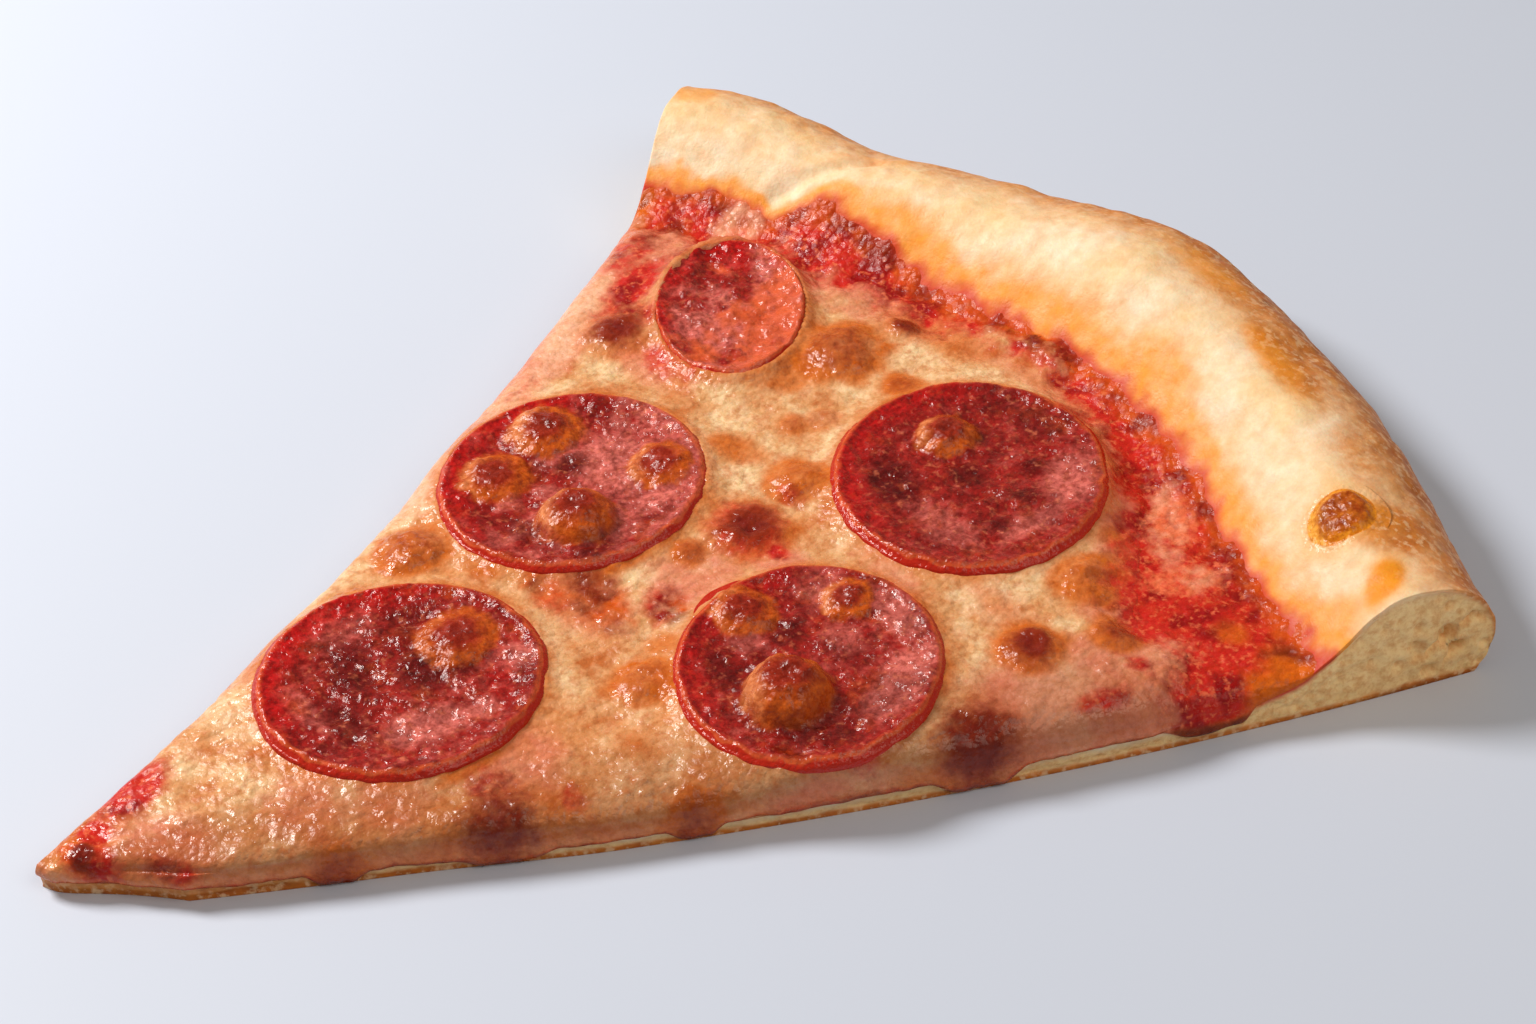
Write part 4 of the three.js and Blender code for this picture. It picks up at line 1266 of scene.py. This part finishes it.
def discMasks(disc, rho, x, y):  # edge, crimson (partly painted shade), dark and rosy (partly painted sheen)
    out = besideDisc(disc, shadedRedSide, x, y) / math.hypot(x - disc["x"] + 0.01, y - disc["y"])
    edge = ramp(rho + 0.02 * grain(x, y, 0, 3, 2), 0.92, 0.98)
    # crimson on the curled edge away from the light: partly painted shade, partly the meat's own crimson
    crimson = max(disc["bright"] * ramp(out, 0.0, 0.8) * ramp(rho, 0.66, 0.9), zoneMask(crimsonMeat, x, y))
    dark = max(zoneMask(darkMeat, x, y), disc["dark"] * ramp(grain(x, y, 50, 4, 3), -0.2, 0.4))
    # rosier towards the side that faces the light: partly painted sheen, partly rosy meat
    pale = ramp(grain(x, y, 90, 5, 3) - 0.5 * out * rho, -0.35, 0.35)
    rosy = max(zoneMask(roseMeatAndSheen, x, y), disc["rose"] * pale)
    veil = ramp(disc["veil"], 0, 0.1) * ramp(grain(x, y, 70, 5, 3) - 0.7 * out, -0.3, 0.6)
    return max(edge, 0.8 * veil), crimson, dark, rosy


def discPlace(disc):
    s = discShape
    turnCos, turnSin = math.cos(s["turn"]), math.sin(s["turn"])

    def place(px, row, w):
        a, b = toDisc(px, row, s["cells"])
        rho = math.hypot(a, b)
        angle = math.atan2(b, a)
        wavy = s["wavy"] * grain(2.4 * math.cos(angle), 2.4 * math.sin(angle), disc["x"], 1, 2)
        size = 1 + wavy * ramp(rho, 0.6, 1)
        if rho > 0.9999 and 0 < w < 1:
            size += 0.012 * math.sin(math.pi * w)
        la, lb = a * size * disc["across"] / 2, b * size * disc["along"] / 2
        x = disc["x"] + la * turnCos - lb * turnSin
        y = disc["y"] + la * turnSin + lb * turnCos
        z = mix(discUnder(disc, rho, y), discTop(disc, rho, x, y), w)
        return (x, y, z), discMasks(disc, rho, x, y)

    return place


def curedPaintGroup():
    c, patch = pepperoniColours, curedBlotches
    group, given, out = paintGroup("curedPaint", "Edge", "Crimson", "Dark", "Rosy")
    colour = blotches(group, c["meat"], c["rose"], given["Rosy"], *patch["rose"])
    colour = flecks(group, colour, c["rust"], 5.0, 3.0, 0.56, 0.7, 0.75)
    colour = blotches(group, colour, c["maroon"], given["Dark"], *patch["maroon"])
    colour = flecks(group, colour, c["fat"], 1.2, 2.0, 0.58, 0.74, 0.5)
    colour = blotches(group, colour, c["crimson"], given["Crimson"], *patch["crimson"])
    colour = speckle(group, colour, 1.0, (0.6, 0.42, 0.36, 1), 1.2)
    colour = blotches(group, colour, c["veil"], given["Edge"], *patch["veil"])
    colour = paint(group, colour, c["edge"], spreadRange(group, given["Edge"], 0.84, 0.98))
    group.links.new(colour, out["Color"])
    return group


curedPaint = curedPaintGroup()


def pepperoniMaterial():
    material, tree, shader = newMaterial("curedPepperoni", pepperoniFinish["shader"])
    colour = paintWith(tree, curedPaint, masksOf(tree, "cure"))
    roughness = unevenShine(tree, *pepperoniFinish["shine"])
    finishShader(tree, shader, colour, roughness, relief(tree, *pepperoniFinish["relief"]))
    return material


def buildDiscs():
    s = discShape
    material = pepperoniMaterial()
    for number, disc in enumerate(discs, 1):
        bm = startBlock(s["cells"], s["cells"])
        refine(bm, s["layers"], upright)
        name = f"pepperoni_slice_{number}"
        finishPiece(name, bm, discPlace(disc), material, [f"pepperoni_{number}"], ["cure"])


buildDiscs()

# Bubbles of cheese on the pepperoni, and the one on the rim

bubbleShape = {
    "cells": 52, "layers": 3, "skirt": 1.5, "foot": 0.12,
    "wrinkle": 0.08, "wrinkleSize": 2.6, "bumpHeight": 0.22, "bumpSize": 1.3, "dent": 0.12,
}
bubbles = rowsOf(
    "on x y radius height steep dark amber wide",
    (0, 0.7, 69.3, 5.7, 1.9, 0.1, 0.5, 0.45, 0),
    (1, -8.4, 96.0, 5.9, 4.2, 0.7, 0.5, 1.0, 0),
    (1, -27.2, 104.2, 5.6, 2.5, 0.3, 0.5, 1.0, 0),
    (1, -23.9, 92.8, 5.5, 1.9, 0.1, 0.35, 0.8, 0),
    (1, -9.8, 111.9, 4.8, 1.7, 0.1, 0.15, 0.8, 0),
    (3, 13.5, 146.4, 4.7, 2.4, 0.4, 0.5, 0.9, 0),
    (4, 40.0, 95.1, 6.2, 5.6, 0.9, 0.4, 1.0, 0),
    (4, 23.4, 101.0, 4.6, 1.9, 0.1, 0.25, 0.6, 0),
    (4, 31.0, 113.0, 3.8, 1.5, 0.2, 0.4, 0.8, 0),
)
rimBubble = dict(x=68.8, y=168.8, radius=4.3, height=0.9, steep=0.9, dark=0.5, amber=0.8, wide=1)
bubbleFinish = {
    "shader": {"Subsurface Weight": 0.04, "Subsurface Scale": 0.0008, "Specular IOR Level": 0.26},
    "shine": (0.9, 0.35, 0.65, 0.16, 0.36), "relief": (1.1, 0.18, 0.4, 0.07, 0.8, 0.12),
}
bubbleColours = {
    "amber": tint(196, 88, 18), "top": tint(150, 40, 16), "dark": tint(88, 12, 6),
    "cream": tint(226, 148, 96),
}
rimBubbleColours = {
    "amber": tint(226, 140, 24), "top": tint(184, 76, 12), "dark": tint(124, 36, 8),
    "cream": tint(238, 178, 76),
}
litSide = Vector((-0.75, -0.66))  # the flank that faces the light; its pale cream is partly painted highlight, partly paler cheese


def bubblePlace(spot, ground, groundMasks):
    s = bubbleShape

    def place(px, row, w):
        a, b = toDisc(px, row, s["cells"])
        rho = math.hypot(a, b) * s["skirt"]
        angle = math.atan2(b, a)
        size = spot["radius"] * (1 + 0.07 * grain(math.cos(angle), math.sin(angle), spot["x"], 1, 2))
        x = spot["x"] + a * s["skirt"] * size
        y = spot["y"] + b * s["skirt"] * size
        base = ground(x, y)
        ball = math.sqrt(max(0, 1 - min(rho, 1) ** 2))
        soft = 1 - ramp(rho, 0.05, 1.3)
        dome = mix(ball, ramp(rho, 1.05, 0.7), spot["wide"])
        dome = mix(soft, dome, spot["steep"] * ramp(rho, 1.1, 0.85))
        wrinkle = s["wrinkle"] * spot["height"] * grain(x, y, 3, s["wrinkleSize"], 2)
        wrinkle += s["bumpHeight"] * (pebbles(x, y, 9, s["bumpSize"]) - 0.35)
        dent = s["dent"] * spot["height"] * bell(rho, 0, 0.25)
        top = base + spot["height"] * dome + wrinkle * min(1, 2 * dome) - dent
        top -= s["foot"] * ramp(rho, 1.2, s["skirt"])
        low = base - 0.6
        crown = ramp(rho, 0.95, 0.25 + 0.45 * spot["wide"]) * (1 - 0.45 * spot["wide"])
        # pale: the flank towards the light, partly painted highlight and partly paler cheese
        pale = spot["amber"] * ramp((a * litSide.x + b * litSide.y), 0.05, 0.5) * ramp(rho, 0.2, 0.5)
        root = ramp(rho + 0.15 * (1 - spot["wide"]) * grain(x, y, 0, 2, 2), 0.8 + 0.15 * spot["wide"], 1.15)
        root = max(root, 0.4 * (1 - spot["amber"]) * (1 - spot["wide"]))
        burnt = spot["dark"] * ramp(rho, mix(0.5, 1.0, spot["wide"]), mix(0.1, 0.6, spot["wide"]))
        toastAndLight = (crown, pale * (1 - root), burnt, root)
        return (x, y, mix(low, top, w)), (*toastAndLight, *groundMasks(x, y))

    return place


def bubbleMaterial(name, c, patchSize, rootSpread, rootPaint, rootAttribute):
    material, tree, shader = newMaterial(name, bubbleFinish["shader"])
    crown, pale, dark, low = masksOf(tree, "toastAndLight")
    # cream on the flank towards the light: partly painted highlight
    colour = blotches(tree, c["amber"], c["cream"], pale, 1.3, 1.0, 0.4, cover=0.7)
    colour = blotches(tree, colour, c["top"], crown, patchSize, 0.9, 0.35)
    colour = blotches(tree, colour, c["dark"], dark, 1.3, 0.9, 0.35)
    colour = speckle(tree, colour, 0.9, (0.72, 0.52, 0.4, 1))
    root = paintWith(tree, rootPaint, masksOf(tree, rootAttribute))
    colour = blotches(tree, colour, root, low, 1.6, rootSpread, 0.75 * rootSpread)
    roughness = unevenShine(tree, *bubbleFinish["shine"])
    finishShader(tree, shader, colour, roughness, relief(tree, *bubbleFinish["relief"]))
    return material


def discGround(disc):
    return lambda x, y: discTop(disc, discRho(disc, x, y), x, y)


def discGroundMasks(disc):
    return lambda x, y: discMasks(disc, discRho(disc, x, y), x, y)


def rimGround(x, y):
    u, r = polar(x, y)
    return crustTop(u, r, x, y)


def rimGroundMasks(x, y):
    u, r = polar(x, y)
    return crustMasks(u, r, x, y, rimGround(x, y), 0)


def buildBubble(name, place, material, node, attributes):
    s = bubbleShape
    bm = startBlock(s["cells"], s["cells"])
    refine(bm, s["layers"], upright)
    finishPiece(name, bm, place, material, [node], attributes)


def buildBubbles():
    material = bubbleMaterial("toastedCheese", bubbleColours, 2.0, 0.6, curedPaint, "cure")
    for number, spot in enumerate(bubbles, 1):
        disc = discs[spot["on"]]
        place = bubblePlace(spot, discGround(disc), discGroundMasks(disc))
        buildBubble(f"bubble_{number}", place, material, f"cheese_bubble_{number}", ["toastAndLight", "cure"])
    onRim = bubbleMaterial("toastedCheeseOnRim", rimBubbleColours, 1.4, 0.2, crustPaint, "baking")
    place = bubblePlace(rimBubble, rimGround, rimGroundMasks)
    buildBubble("bubble_on_rim", place, onRim, "rim_bubble", ["toastAndLight", "baking"])


buildBubbles()
